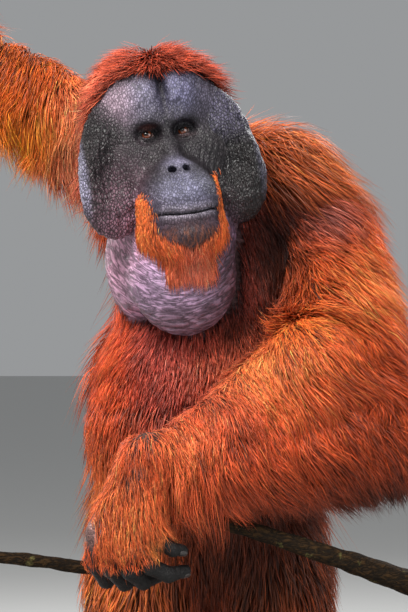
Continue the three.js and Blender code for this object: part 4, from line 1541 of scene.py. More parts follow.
class Combing:
    """Which way the coat lies, for each part of the body."""

    def __init__(self, head: Head) -> None:
        """Keeps the head, whose hair lies in its own frame."""
        self.head = head

    def crown(self, p: Array) -> Array:
        """Out from the whorl on top of the head, and down."""
        q = self.head.inside(p)
        away = q - np.array(self.head.sizes.crown_top)
        away[:, 0] *= 1.9
        away[:, 1] *= np.where(away[:, 1] < 0, 0.55, 1.0)
        return unit(unit(away @ self.head.turn.T) + 0.1 * DOWN)

    def beard(self, p: Array) -> Array:
        """Down along the muzzle, and a little back and out to each side."""
        q = self.head.inside(p)
        out = np.tile(DOWN, (len(p), 1))
        out[:, 0] = np.clip(q[:, 0] / 40, -1, 1) * 0.14
        return unit(out @ self.head.turn.T)

    def trunk(self, p: Array) -> Array:
        """Down the trunk, and outwards from the neck over the shoulders."""
        out = p - np.array([-30.0, 30.0, 1190.0])
        out[:, 2] = 0
        high = ramp(p[:, 2], 1000, 1110)[:, None]
        side = unit(out) * (0.1 + 0.95 * high)
        return unit(side + DOWN * (1.1 - 0.45 * high))

    def upper_arm_left(self, p: Array) -> Array:
        """Out and down over the shoulder, then down to the elbow."""
        low = ramp(-p[:, 2], -960, -760)[:, None]
        high = np.array([0.8, -0.3, -0.55])
        return unit(mix(high, np.array([0.4, -0.3, -0.9]), low) + 0.3 * self.trunk(p))

    def forearm_left(self, p: Array) -> Array:
        """From the wrist towards the elbow, over the front and down."""
        along = ramp(p[:, 0], -80, 240)[:, None]
        return unit(mix(np.array([0.4, -0.4, -1.0]), np.array([0.75, -0.4, -0.8]), along))

    def hand_left(self, p: Array) -> Array:
        """Down over the back of the hand and a little inwards."""
        return np.tile(unit(np.array([0.22, -0.2, -1.0])), (len(p), 1))

    def upper_arm_right(self, p: Array) -> Array:
        """Hanging from the raised arm, and a little out along it."""
        return np.tile(unit(np.array([-0.3, -0.15, -1.0])), (len(p), 1))

    def down(self, p: Array) -> Array:
        """Straight down."""
        return np.tile(DOWN, (len(p), 1))


@dataclass
class Tufts:
    """Closed three-sided tufts, kept as arrays until they become one mesh."""

    spots: list[Array] = field(default_factory=list)
    corners: list[Array] = field(default_factory=list)
    starts: list[Array] = field(default_factory=list)
    maps: list[Array] = field(default_factory=list)
    tints: list[Array] = field(default_factory=list)
    points: int = 0
    loops: int = 0
    patch: float = 0.003

    def add(self, style: Style, paths: Array, ways: Array, places: Array, tint: Array) -> None:
        """Adds tufts of one style.

        Args:
            style: their style.
            paths: the line of each tuft.
            ways: the way out of the skin along each line.
            places: each root's place on the skin's unwrap.
            tint: each tuft's colour.
        """
        n, rings = len(paths), len(style.profile)
        size = rings * 3 + 1
        spots = np.empty((n, size, 3))
        for ring, (i, share) in enumerate(style.profile):
            ahead = unit(paths[:, i + 1] - paths[:, max(i - 1, 0)])
            side = unit(np.cross(ways[:, i], ahead))
            up = np.cross(ahead, side)
            for corner, (x, y) in enumerate(((0.5, -0.3), (0.0, 0.7), (-0.5, -0.3))):
                spots[:, ring * 3 + corner] = (paths[:, i] + side * (x * style.width * share)
                                               + up * (y * style.thick * share))
        spots[:, -1] = paths[:, -1]
        faces: list[tuple[int, ...]] = [(0, 2, 1)]
        for ring in range(rings - 1):
            for j in range(3):
                a, b = ring * 3 + j, ring * 3 + (j + 1) % 3
                faces.append((a, b, b + 3, a + 3))
        last = (rings - 1) * 3
        faces += [(last + j, last + (j + 1) % 3, size - 1) for j in range(3)]
        flat = np.concatenate(faces)
        starts = np.concatenate([[0], np.cumsum([len(f) for f in faces])[:-1]])
        tuft = np.arange(n)[:, None]
        self.corners.append((flat + tuft * size + self.points).ravel())
        self.starts.append((starts + tuft * len(flat) + self.loops).ravel())
        share = np.array([(x, y / rings) for y in range(rings) for x in (1, 0.5, 0)] + [(0.5, 1)])
        self.maps.append((places[:, None] + share[flat] * self.patch).reshape(-1, 2))
        along = np.concatenate([np.repeat(np.linspace(0, 1, rings + 1)[:-1], 3), [1]])
        # Each tuft is darkest at its root, a painted shade deep in the coat, and grows lighter towards its
        # tip.
        light = style.bright * np.interp(along, [0, 0.35, 0.7, 1], [style.dark, 0.8, 1.1, 1.35])
        self.tints.append(np.clip(tint[:, None] * light[None, :, None], 0, 1).reshape(-1, 3))
        self.spots.append(spots.reshape(-1, 3))
        self.points += n * size
        self.loops += n * len(flat)

    def mesh(self, name: str) -> bpy.types.Mesh:
        """All the tufts as one mesh with its colours and its map for baking."""
        mesh = bpy.data.meshes.new(name)
        starts = np.concatenate(self.starts).astype(np.int32)
        mesh.vertices.add(self.points)
        mesh.loops.add(self.loops)
        mesh.polygons.add(len(starts))
        mesh.vertices.foreach_set("co", (np.vstack(self.spots) * MM).ravel())
        mesh.loops.foreach_set("vertex_index", np.concatenate(self.corners).astype(np.int32))
        mesh.polygons.foreach_set("loop_start", starts)
        mesh.update(calc_edges=True)
        layer = mesh.uv_layers.new(name="OFBake")
        layer.data.foreach_set("uv", np.vstack(self.maps).ravel())
        paint(mesh, "Tint", np.vstack(self.tints))
        return mesh


class Coat:
    """The whole coat as thin closed tufts that root in the skin and follow the lie of the hair."""

    steps = 6
    sink = 3.0
    first_seed = 100
    per_lock = 9
    lock_reach = 30

    def __init__(self, body: Body, volume: Volume, skin: bpy.types.Mesh) -> None:
        """Measures the whole skin's triangles, which the tufts root in."""
        self.body = body
        self.volume = volume
        skin.calc_loop_triangles()
        corners = np.empty(len(skin.loop_triangles) * 3, np.int32)
        skin.loop_triangles.foreach_get("vertices", corners)
        self.corner = points_of(skin)[corners.reshape(-1, 3)]
        cross = np.cross(self.corner[:, 1] - self.corner[:, 0], self.corner[:, 2] - self.corner[:, 0])
        self.area = np.linalg.norm(cross, axis=1) / 2
        self.middle = self.corner.mean(axis=1)
        self.out = unit(cross)
        self.region, _ = body.nearest(self.middle)
        self.in_head = body.head.inside(self.middle)
        self.combing = Combing(body.head)

    def _hairline(self, q: Array) -> Array:
        """1 where the head has hair, 0 on the bare face."""
        over = ramp(q[:, 2] + 0.62 * q[:, 1] - 10 * np.cos(q[:, 0] / 30.0) + 4 * drift(q, 24, 51), 92, 108)
        behind = ramp(q[:, 1], 46, 60)
        return np.maximum(over, behind)

    def _stretches(self) -> list[Stretch]:
        """Every stretch of the coat."""
        comb = self.combing

        def crown(p: Array, q: Array, region: Array) -> Array:
            """The head above the hairline and behind the flanges."""
            low = ramp(-q[:, 2], 40, 80) * (q[:, 0] < 0)
            on_head = on_regions(region, Region.HEAD, Region.EAR)
            return on_head * self._hairline(q) * (1 + ramp(q[:, 2], 70, 120)) * (1 - low)

        def crown_long(p: Array, q: Array) -> Array:
            """Short over the forehead, long behind."""
            return 0.75 + 1.3 * ramp(q[:, 1], 40, 120) + 0.6 * ramp(-q[:, 2], -60, 10)

        def beard(p: Array, q: Array, region: Array) -> Array:
            """Round the muzzle and under the chin."""
            wide, z = np.abs(q[:, 0]), q[:, 2]
            inner = np.interp(z, [-230, -200, -190, -176, -160, -108, -72, -60],
                              [0, 0, 14, 38, 50, 58, 58, 58])
            outer = np.interp(z, [-235, -215, -190, -160, -100], [10, 34, 54, 74, 90])
            top = np.where(q[:, 0] < 0, 92, 68)
            edge = ramp(wide, inner - 6, inner + 14) * ramp(outer - wide, -4, 12) * ramp(-z, top, top + 22)
            under = on_regions(region, Region.POUCH) * (wide < 36) * (z > -222)
            return on_regions(region, Region.HEAD) * edge * (q[:, 1] < 28) + under

        def beard_long(p: Array, q: Array) -> Array:
            """Longer towards the chin."""
            sides = ramp(np.abs(q[:, 0]), 24, 60) * ramp(-q[:, 2], 160, 200)
            return (0.34 + 0.9 * ramp(-q[:, 2], 120, 205)) * (1 - 0.35 * sides)

        def front(p: Array, bare_from: float = 950) -> Array:
            """0 on the bare front of the neck, and 1 in the dark hollow beside it."""
            bare = ramp(p[:, 2], bare_from, bare_from + 70) * ramp(-p[:, 1], -40, 0)
            return 1 - bare * ramp(-np.abs(p[:, 0] + 70), -150, -120)

        def chest(p: Array, q: Array, region: Array) -> Array:
            """The front of the trunk above the forearm."""
            return (on_regions(region, Region.TRUNK, Region.NECK) * front(p, 895) * (p[:, 1] < 30)
                    * (p[:, 2] > 790) * (p[:, 2] < 1170))

        def belly(p: Array, q: Array, region: Array) -> Array:
            """The front of the trunk below the chest."""
            return on_regions(region, Region.TRUNK) * (p[:, 1] < 30) * (p[:, 2] <= 790)

        def upper_back(p: Array, q: Array, region: Array) -> Array:
            """The back, the shoulders and the back of the neck."""
            x, y, z = p.T
            behind = (y >= 30) | (z >= 1170)
            bare = (x < -60) * (y < 64) * (z > 962) * (z < 1190)
            on_trunk = on_regions(region, Region.TRUNK, Region.NECK)
            return on_trunk * behind * front(p) * (z > 850) * (1 - bare)

        def lower_back(p: Array, q: Array, region: Array) -> Array:
            """The back below the ribs, and the hips."""
            return on_regions(region, Region.TRUNK) * (p[:, 1] >= 30) * (p[:, 2] <= 850)

        def plain(*regions: Region) -> Callable[[Array, Array, Array], Array]:
            """Evenly all over some regions."""
            return lambda p, q, region: on_regions(region, *regions)

        def hand_back(p: Array, q: Array, region: Array) -> Array:
            """The back of the left hand and the roots of its fingers, not its bare edge or wrist bend."""
            bare = np.exp(-(((p - (-182, -318, 598)) / (17, 60, 40)) ** 2).sum(axis=1))
            bare += 0.7 * np.exp(-(((p - (-112, -325, 692)) / (20, 40, 14)) ** 2).sum(axis=1))
            x, y, z = p.T
            digits = on_regions(region, Region.DIGITS) * (x < -104) * (y < -276) * (z > 530)
            hand = (on_regions(region, Region.HAND_LEFT) + digits * (z < 700)) * ramp(z, 528, 545)
            return hand * np.clip(1 - 1.3 * bare, 0, 1)

        def hand_long(p: Array, q: Array) -> Array:
            """Shorter at the knuckles."""
            return 0.45 + 0.55 * ramp(p[:, 2], 550, 620)

        def arm_long(p: Array, q: Array) -> Array:
            """Longer below the arm than on top of it."""
            return 0.75 + 0.5 * ramp(-self.volume.look(p)[1][:, 2], -0.5, 0.7)

        def chest_long(p: Array, q: Array) -> Array:
            """Longer at the sides and in the dark hollow."""
            side = 0.8 * ramp(-p[:, 0], 100, 150) * ramp(p[:, 2], 850, 900)
            return 0.8 + 0.9 * ramp(p[:, 0], 70, 120) * ramp(p[:, 2], 940, 1000) + side

        def leg_long(p: Array, q: Array) -> Array:
            """Shorter towards the foot."""
            return 0.45 + 0.55 * ramp(p[:, 2], 90, 300)

        def legs(p: Array, q: Array, region: Array) -> Array:
            """Both legs, down to the ankles."""
            return on_regions(region, Region.THIGH, Region.SHIN) * (p[:, 2] > 84)

        def raised(p: Array, q: Array, region: Array) -> Array:
            """The raised upper arm, not the bare skin where it leaves the chest."""
            bare = (p[:, 0] > -212) * (p[:, 2] < 1190) * (p[:, 1] < 40)
            return on_regions(region, Region.UPPER_ARM_RIGHT) * (1 - bare)

        trunk = ((0, 20, 480), (0, 20, 1250))
        return [
            Stretch("coat_crown", 5000, 8000,
                    Style(44, 36, 1.8, 0.7, rise=0.5, frizz=1.7, clump=0.25, comb=0.7, wave=0.16),
                    (150, 58, 36), ((-60, -100, 1226), (-60, -80, 1400)), crown, comb.crown, crown_long),
            Stretch("coat_beard", 3000, 4500,
                    Style(38, 7, 1.6, 0.6, rise=0.2, droop=0.2, frizz=1.4, clump=0.3, comb=0.75, wave=0.12),
                    (214, 98, 38), ((-40, -170, 1020), (-60, -175, 1260)), beard, comb.beard, beard_long),
            Stretch("coat_chest", 4400, 7600,
                    Style(44, 18, 1.9, 0.7, rise=0.22, clump=0.25, comb=0.75, wave=0.12, frizz=1.4),
                    (126, 46, 30), trunk, chest, comb.trunk, chest_long),
            Stretch("coat_belly", 4000, 5000, Style(60, 32, 2.4, comb=0.7, wave=0.18),
                    (156, 64, 34), trunk, belly, comb.trunk),
            Stretch("coat_upper_back", 5400, 8000, Style(110, 58, 3.2, 1.0, droop=0.35),
                    (184, 80, 26), trunk, upper_back, comb.trunk),
            Stretch("coat_lower_back", 4200, 4200, Style(120, 58, 3.8, 1.1, droop=0.35),
                    (190, 84, 28), trunk, lower_back, comb.trunk),
            Stretch("coat_upper_arm_left", 4600, 12400,
                    Style(84, 54, 2.3, 0.8, droop=0.3, flat_top=0.2, clump=0.3),
                    (186, 72, 26), (JOINTS["elbow_left"], JOINTS["shoulder_left"]),
                    plain(Region.UPPER_ARM_LEFT), comb.upper_arm_left, arm_long),
            Stretch("coat_forearm_left", 4600, 12400,
                    Style(74, 40, 2.2, 0.8, droop=0.6, comb=0.3, flat_top=0.7, clump=0.3),
                    (192, 76, 34), (JOINTS["wrist_left"], JOINTS["elbow_left"]),
                    plain(Region.FOREARM_LEFT), comb.forearm_left, arm_long),
            Stretch("coat_hand_left", 1400, 3200, Style(44, 14, 1.8, 0.6, droop=0.3, comb=0.5, clump=0.3),
                    (188, 76, 36), ((-120, -320, 560), (-90, -290, 700)),
                    hand_back, comb.hand_left, hand_long),
            Stretch("coat_upper_arm_right", 4000, 7500, Style(76, 22, 2.3, 0.8, droop=0.7, comb=0.25),
                    (208, 90, 24), (JOINTS["elbow_right"], JOINTS["shoulder_right"]),
                    raised, comb.upper_arm_right, arm_long),
            Stretch("coat_forearm_right", 3300, 2600, Style(80, 40, 3.2, 1.0, droop=0.4),
                    (192, 82, 28), (JOINTS["elbow_right"], JOINTS["wrist_right"]),
                    plain(Region.FOREARM_RIGHT, Region.HAND_RIGHT), comb.down),
            Stretch("coat_legs", 5000, 3000, Style(80, 30, 4.0, 1.0, droop=0.4),
                    (160, 70, 28), ((20, 0, 0), (20, 0, 600)), legs, comb.down, leg_long),
        ]

    def _roots(self, stretch: Stretch, count: int, rng: np.random.Generator) -> tuple[Array, Array]:
        """Even root places on the skin.

        Args:
            stretch: the stretch of coat.
            count: how many roots.
            rng: the seeded source of chance.

        Returns:
            The places, and the skin's way out at each.
        """
        weight = self.area * np.clip(stretch.density(self.middle, self.in_head, self.region), 0, None)
        total = np.cumsum(weight)
        at = (np.arange(count) + rng.random(count)) * total[-1] / count
        chosen = np.minimum(np.searchsorted(total, at), len(total) - 1)
        u, v = rng.random((2, count, 1))
        flip = u + v > 1
        u, v = np.where(flip, 1 - u, u), np.where(flip, 1 - v, v)
        a, b, c = (self.corner[chosen, i] for i in range(3))
        return a + u * (b - a) + v * (c - a), self.out[chosen]

    def _paths(self, stretch: Stretch, style: Style, roots: Array, out: Array,
               rng: np.random.Generator) -> tuple[Array, Array]:
        """The line of each tuft.

        Args:
            stretch: the stretch of coat.
            style: how these tufts are made.
            roots: the root places.
            out: the skin's way out at each.
            rng: the seeded source of chance.

        Returns:
            The points of each line, and the way out of the skin at each point.
        """
        n = len(roots)
        long = style.length * stretch.long(roots, self.body.head.inside(roots))
        long = long * (1 - style.vary + 2 * style.vary * rng.random(n)) * np.exp(0.18 * drift(roots, 90, 31))
        lift = style.lift * rng.uniform(0.12, 1.0, n) * np.minimum(1, long / style.length)
        lift *= 1 - style.flat_top * ramp(out[:, 2], 0.1, 0.8)
        sway = np.stack([drift(roots, 75, 32 + i) for i in range(3)], axis=1) * style.wave
        sway += rng.normal(size=(n, 3)) * 0.12
        p = roots - out * self.sink
        points, ways = [p], [out]
        for i in range(1, self.steps + 1):
            t = i / self.steps
            _, way = self.volume.look(p)
            lie = stretch.lie(p) + sway
            lie = lie - way * np.minimum(0, (lie * way).sum(axis=1, keepdims=True))
            lie = lie - way * (lie * way).sum(axis=1, keepdims=True) * style.comb
            heading = unit(lie) + way * style.rise * (1 - t) + DOWN * style.droop * t
            p = p + unit(heading) * (long / self.steps)[:, None]
            d, way = self.volume.look(p)
            want = 0.8 + lift * t ** 0.8
            low = np.maximum(want - d, 0)
            high = np.maximum(d - want, 0) * style.comb * 0.6
            p = p + way * (low - high)[:, None]
            points.append(p)
            ways.append(way)
        return self._clumped(style, np.stack(points, axis=1), rng), np.stack(ways, axis=1)

    def _clumped(self, style: Style, paths: Array, rng: np.random.Generator) -> Array:
        """The lines drawn together towards a leader each, so that the hair hangs in locks."""
        n = len(paths)
        leaders = rng.choice(n, max(1, n // self.per_lock), replace=False)
        tree = KDTree(len(leaders))
        for i, leader in enumerate(leaders):
            tree.insert(paths[leader, 0], i)
        tree.balance()
        nearest = leaders[[tree.find(p)[1] for p in paths[:, 0]]]
        t = np.linspace(0, 1, self.steps + 1)[None, :, None]
        pull = style.clump * rng.uniform(0.3, 1.0, (n, 1, 1)) * t ** 1.3
        gap = paths[nearest] - paths
        gap *= np.minimum(1, self.lock_reach / np.maximum(np.linalg.norm(gap, axis=2, keepdims=True), 1e-6))
        wobble = np.sin(t * rng.uniform(4, 9, (n, 1, 1)) + rng.uniform(0, 6.3, (n, 1, 3)))
        return paths + gap * pull + wobble * style.frizz * t * rng.random((n, 1, 1))

    def _unwrap(self, stretch: Stretch, roots: Array) -> Array:
        """Each root's place on an unwrap of the skin: its angle round the part's own line and its height."""
        a, b = (np.array(p, float) for p in stretch.axis)
        along = unit(b - a)
        side = unit(np.cross(along, (0.3, 1.0, 0.2)))
        front = np.cross(along, side)
        x = roots - a
        height = x @ along
        width = np.hypot(x @ side, x @ front)
        turn = np.arctan2(x @ side, x @ front) / (2 * math.pi) + 0.5
        spread = height + np.where(height > np.median(height), -0.35, 0.35) * width
        low, high = np.percentile(spread, [0.5, 99.5])
        return np.stack([turn, np.clip((spread - low) / (high - low), 0, 1)], axis=1) * 0.99 + 0.003

    def _colours(self, stretch: Stretch, roots: Array, tips: Array, rng: np.random.Generator) -> Array:
        """The colour of each tuft, with the coat's markings, some of them painted light and painted shade,
        and its own chance.
        """
        n = len(roots)
        base = np.tile(np.array(linear(*stretch.colour)), (n, 1))
        place = mix(roots, tips, 0.35)
        tint = painted(base, COAT_MARKS, place, self.body.head.inside(place))
        tint *= np.exp(0.2 * drift(roots, 60, 41) + 0.4 * rng.normal(size=n))[:, None]
        return tint * np.exp(rng.normal(size=(n, 1)) * np.array([[0.02, -0.07, -0.14]]))

    def build(self, stretch: Stretch, seed: int) -> bpy.types.Object:
        """One stretch of coat.

        Args:
            stretch: the stretch.
            seed: its own seed.

        Returns:
            Its object.
        """
        rng = np.random.default_rng(seed)
        tufts = Tufts()
        for count, style in ((stretch.tufts, stretch.style), (stretch.strands, stretch.style.fine())):
            roots, out = self._roots(stretch, count, rng)
            paths, ways = self._paths(stretch, style, roots, out, rng)
            tint = self._colours(stretch, roots, paths[:, -1], rng)
            tufts.add(style, paths, ways, self._unwrap(stretch, roots), tint)
        return linked(stretch.name, tufts.mesh(stretch.name))

    def dress(self, groups: Groups) -> None:
        """Builds every stretch in its hair finish."""
        material = HairFinish("hair").material(groups)
        for seed, stretch in enumerate(self._stretches()):
            keep(self.build(stretch, self.first_seed + seed), material)


# What is scattered by Geometry Nodes

@dataclass(frozen=True)
class Scatter:
    """Small shapes that stand on a surface, evenly by chance."""

    name: str
    density: float
    length: float
    radius: float
    tilt: float
    seed: int

    def _tree(self, material: bpy.types.Material) -> bpy.types.NodeTree:
        """The nodes: points on the faces, a cone at each, made real and dressed."""
        tree = bpy.data.node_groups.new(self.name, "GeometryNodeTree")
        kinds = {"Geometry": "Geometry", "Density": "Float", "Length": "Float", "Radius": "Float",
                 "Tilt": "Float", "Seed": "Int"}
        for key, kind in kinds.items():
            tree.interface.new_socket(key, in_out="INPUT", socket_type=f"NodeSocket{kind}")
        tree.interface.new_socket("Geometry", in_out="OUTPUT", socket_type="NodeSocketGeometry")
        board = Board(tree)
        given, put = board.add("NodeGroupInput").outputs, board.add("NodeGroupOutput")
        points = board.add("GeometryNodeDistributePointsOnFaces", {
            "Mesh": given["Geometry"], "Density": given["Density"], "Seed": given["Seed"]}).outputs
        cone = board.add("GeometryNodeMeshCone", {
            "Vertices": 5, "Radius Top": 0.0, "Depth": given["Length"], "Radius Bottom": given["Radius"]})
        sunk = board.add("GeometryNodeTransform", {
            "Geometry": cone.outputs["Mesh"], "Translation": (0, 0, -0.0006)})
        turn = board.add("ShaderNodeCombineXYZ", {"X": given["Tilt"]})
        euler = board.add("FunctionNodeEulerToRotation", {"Euler": turn.outputs["Vector"]})
        lean = board.add("FunctionNodeRotateRotation", {
            "Rotation": points["Rotation"], "Rotate By": euler.outputs["Rotation"]}, rotation_space="LOCAL")
        size = board.add("FunctionNodeRandomValue", {
            "Min": 0.5, "Max": 1.2, "Seed": given["Seed"]}, data_type="FLOAT")
        spread = board.add("GeometryNodeInstanceOnPoints", {
            "Points": points["Points"], "Instance": sunk.outputs["Geometry"],
            "Rotation": lean.outputs["Rotation"], "Scale": next(o for o in size.outputs if o.enabled)})
        real = board.add("GeometryNodeRealizeInstances", {"Geometry": spread.outputs["Instances"]})
        dress = board.add("GeometryNodeSetMaterial", {
            "Geometry": real.outputs["Geometry"], "Material": material})
        board.link(dress.outputs["Geometry"], put.inputs["Geometry"])
        return tree

    def on(self, ground: bpy.types.Object, material: bpy.types.Material) -> bpy.types.Object:
        """Scatters the shapes over a surface.

        Args:
            ground: the surface, which is used up.
            material: what the shapes are dressed in.

        Returns:
            One mesh object of real shapes.
        """
        tree = self._tree(material)
        nodes = ground.modifiers.new("scatter", "NODES")
        nodes.node_group = tree
        values = {"Density": self.density, "Length": self.length * MM, "Radius": self.radius * MM,
                  "Tilt": math.radians(self.tilt), "Seed": self.seed}
        for item in tree.interface.items_tree:
            if item.in_out == "INPUT" and item.name in values:
                nodes[item.identifier] = values[item.name]
        made = bpy.data.meshes.new_from_object(ground.evaluated_get(bpy.context.evaluated_depsgraph_get()))
        made.name = self.name
        bpy.data.objects.remove(ground)
        return linked(self.name, made)


@dataclass
class Bristles:
    """Short stiff bristles on the chin, between the lips and the beard."""

    body: Body
    skin: bpy.types.Object
    scatter: Scatter = Scatter("chin_bristles", 520000.0, 6.5, 0.42, 62.0, 17)

    def _ground(self) -> bpy.types.Object:
        """The chin's own patch of the skin."""
        mesh = self.skin.data
        q = self.body.head.inside(points_of(mesh))
        work = bmesh.new()
        work.from_mesh(mesh)
        work.verts.ensure_lookup_table()
        wide, z = np.abs(q[:, 0]), q[:, 2]
        under_lip = (wide < 50) & (z < -162) & (z > -198)
        corners = (wide > 40) & (wide < 60) & (z < -120) & (z > -190)
        stays = (q[:, 1] < 0) & (under_lip | corners)
        gone = [v for v in work.verts if not stays[v.index]]
        bmesh.ops.delete(work, geom=gone, context="VERTS")
        patch = bpy.data.meshes.new("chin")
        work.to_mesh(patch)
        work.free()
        return linked("chin", patch)

    def dress(self, groups: Groups) -> None:
        """Scatters the bristles and gives them their map and colours."""
        material = HairFinish("bristle").material(groups)
        made = self.scatter.on(self._ground(), material)
        mesh = made.data
        size = 6
        root = points_of(mesh).reshape(-1, size, 3).mean(axis=1)
        rng = np.random.default_rng(18)
        amber = rng.random(len(root)) < 0.55
        tint = np.where(amber[:, None], linear(196, 108, 46), linear(58, 34, 24))
        paint(mesh, "Tint", np.repeat(tint * np.exp(0.3 * rng.normal(size=(len(root), 1))), size, axis=0))
        q = self.body.head.inside(root)
        place = np.stack([q[:, 0] / 200 + 0.5, -q[:, 2] / 260], axis=1)
        corner = np.empty(len(mesh.loops), np.int32)
        mesh.loops.foreach_get("vertex_index", corner)
        for layer in list(mesh.uv_layers):
            mesh.uv_layers.remove(layer)
        layer = mesh.uv_layers.new(name="OFBake")
        spin = np.array([(math.cos(a), math.sin(a)) for a in np.linspace(0, 2 * math.pi, size)]) * 0.0015
        layer.data.foreach_set("uv", (place[corner // size] + spin[corner % size]).ravel())
        keep(made, material)


# Nails, branches and stand

@dataclass
class Nails:
    """A dark flat nail on each finger, thumb and toe."""

    length: float = 13.0
    rings: int = 7
    across: int = 9

    def _tips(self) -> list[tuple[Array, Array, Array, float]]:
        """Each digit's last point, its heading there, its back and its radius."""
        lines = []
        for hand in HANDS.values():
            for line, radii in (*((f, FINGER_RADII) for f in hand.fingers), (hand.thumb, THUMB_RADII)):
                line = np.array(line, float)
                lines.append((line, self._back(line), radii[-1]))
        for side in (1, -1):
            toes, big = toe_lines(side)
            lines += [*((toe, UP, 9) for toe in toes), (big, UP, 10)]
        return [(line[-1], unit(line[-1] - line[-2]), back, radius) for line, back, radius in lines]

    def _back(self, line: Array) -> Array:
        """The outer side of a curled digit at its tip."""
        bend = unit(line[-2] - line[-3]) - unit(line[-1] - line[-2])
        heading = unit(line[-1] - line[-2])
        back = bend - heading * (bend @ heading)
        return unit(back) if np.linalg.norm(back) > 1e-3 else np.array([0.0, -1.0, 0.0])

    def build(self) -> bpy.types.Object:
        """All the nails as one mesh, each a curved plate with thickness."""
        points, faces = [], []
        for tip, heading, back, radius in self._tips():
            back = unit(back - heading * (back @ heading))
            side = np.cross(heading, back)
            start = len(points)
            for layer in (0, 1):
                for i in range(self.rings):
                    t = i / (self.rings - 1)
                    for j in range(self.across):
                        a = (j / (self.across - 1) - 0.5) * 1.5 * (1 - 0.35 * (2 * abs(t - 0.45)) ** 3)
                        r = radius + (1.0 if layer else -1.2)
                        ahead = (t - 0.55) * self.length
                        dip = 0.035 * max(0.0, ahead) ** 2
                        points.append(tip + heading * ahead + side * math.sin(a) * r
                                      + back * (math.cos(a) * r - dip))
            size = self.rings * self.across
            for i in range(self.rings - 1):
                for j in range(self.across - 1):
                    a = start + i * self.across + j
                    quad = (a, a + 1, a + 1 + self.across, a + self.across)
                    faces += [quad[::-1], tuple(k + size for k in quad)]
            rim = [i * self.across for i in range(self.rings)]
            rim += [(self.rings - 1) * self.across + j for j in range(1, self.across)]
            rim += [i * self.across + self.across - 1 for i in range(self.rings - 2, -1, -1)]
            rim += list(range(self.across - 2, 0, -1))
            for k, a in enumerate(rim):
                b = rim[(k + 1) % len(rim)]
                faces.append((start + a, start + b, start + b + size, start + a + size))
        made = object_from("nails", np.array(points), faces)
        face_out(made.data)
        return made

    def dress(self, groups: Groups) -> None:
        """Builds the nails in dark horn."""
        finish = PlainFinish("dark_horn", (42, 36, 34), 0.38, grain=420.0, bump=0.3)
        keep(self.build(), finish.material(groups))


@dataclass(frozen=True)
class Branch:
    """A cut length of branch: its line and its thickness along it."""

    line: tuple[tuple[float, float, float], ...]
    radii: tuple[float, ...]
    sides: int = 28
    spacing: float = 5.0
    rough: float = 0.9

    def add_to(self, points: list[Array], faces: list[tuple[int, ...]], makes: list[Array],
               seed: int) -> None:
        """Adds the branch to a growing mesh.

        Args:
            points: the mesh's points so far.
            faces: its faces so far.
            makes: for each point, how far it is cut wood, and its share of the way out from the heart.
            seed: the seed of its knots.
        """
        start = sum(len(p) for p in points)
        length = np.linalg.norm(np.diff(np.array(self.line), axis=0), axis=1).sum()
        rings = max(6, int(length / self.spacing))
        middle = curve_through(self.line, rings)
        radius = np.interp(np.linspace(0, 1, rings), np.linspace(0, 1, len(self.radii)), self.radii)
        ahead = unit(np.gradient(middle, axis=0))
        side = unit(np.cross(ahead, (0, 0.3, 1)))
        up = np.cross(ahead, side)
        turn = np.linspace(0, 2 * math.pi, self.sides, endpoint=False)
        ring = np.cos(turn)[None, :, None] * side[:, None] + np.sin(turn)[None, :, None] * up[:, None]
        skin = middle[:, None] + ring * radius[:, None, None]
        flat = skin.reshape(-1, 3)
        bump = self.rough * drift(flat * (0.4, 1, 1), 22, seed)
        bump = bump + 0.35 * self.rough * drift(flat, 9, seed + 1)
        skin = flat + ring.reshape(-1, 3) * bump[:, None]
        ends = []
        for at, way in ((0, -1), (-1, 1)):
            first = 0 if at == 0 else (rings - 1) * self.sides
            edge = skin[first:first + self.sides]
            for share in (0.93, 0.5):
                ends.append(middle[at] + (edge - middle[at]) * share + ahead[at] * way * 1.2)
            ends.append((middle[at] + ahead[at] * way * 1.2)[None])
        block = np.vstack([skin, *ends])
        make = np.zeros((len(block), 3))
        body = len(skin)
        step = self.sides * 2 + 1
        for k in range(2):
            make[body + k * step:body + (k + 1) * step, 0] = 1
            make[body + k * step:body + k * step + self.sides, 1] = 0.93
            make[body + k * step + self.sides:body + k * step + 2 * self.sides, 1] = 0.5
        points.append(block)
        makes.append(make)
        faces += [tuple(i + start for i in f) for f in ring_faces(rings, self.sides, False)]
        for k, first in enumerate((0, (rings - 1) * self.sides)):
            outer, inner = body + k * step, body + k * step + self.sides
            for j in range(self.sides):
                n = (j + 1) % self.sides
                faces.append(tuple(start + i for i in (first + j, first + n, outer + n, outer + j)))
                faces.append(tuple(start + i for i in (outer + j, outer + n, inner + n, inner + j)))
                faces.append(tuple(start + i for i in (inner + j, inner + n, inner + self.sides)))


LOWER_BRANCH = (
    Branch(((-350, -288, 548), (-250, -274, 536), (-172, -262, 526), (-108, -256, 560), (-46, -250, 610),
            (30, -246, 598), (110, -244, 573), (230, -242, 534), (330, -240, 499), (410, -238, 470)),
           (9.5, 10, 10.5, 12, 14, 13, 14, 17, 20, 21)),
    Branch(((-46, -248, 606), (-60, -238, 636), (-76, -232, 656)), (12, 11, 9.6), sides=20),
)
UPPER_BRANCH = (
    Branch(((-590, 8, 1866), (-500, -2, 1880), (-425, 0, 1885), (-340, 4, 1882), (-262, -6, 1872)),
           (21, 22, 22, 21, 20)),
)


@dataclass
class Perches:
    """The two cut branches that the hands hold."""

    finish: BarkFinish = field(default_factory=BarkFinish)

    def build(self, name: str, branches: Sequence[Branch], seed: int) -> bpy.types.Object:
        """One perch from its lengths of branch."""
        points: list[Array] = []
        faces: list[tuple[int, ...]] = []
        makes: list[Array] = []
        for i, branch in enumerate(branches):
            branch.add_to(points, faces, makes, seed + i * 3)
        made = object_from(name, np.vstack(points), faces)
        face_out(made.data)
        paint(made.data, "Make", np.vstack(makes))
        return made

    def dress(self, groups: Groups) -> None:
        """Builds both perches in bark."""
        material = self.finish.material(groups)
        keep(self.build("branch_lower", LOWER_BRANCH, 61), material, ["perch_lower"])
        keep(self.build("branch_upper", UPPER_BRANCH, 71), material, ["perch_upper"])


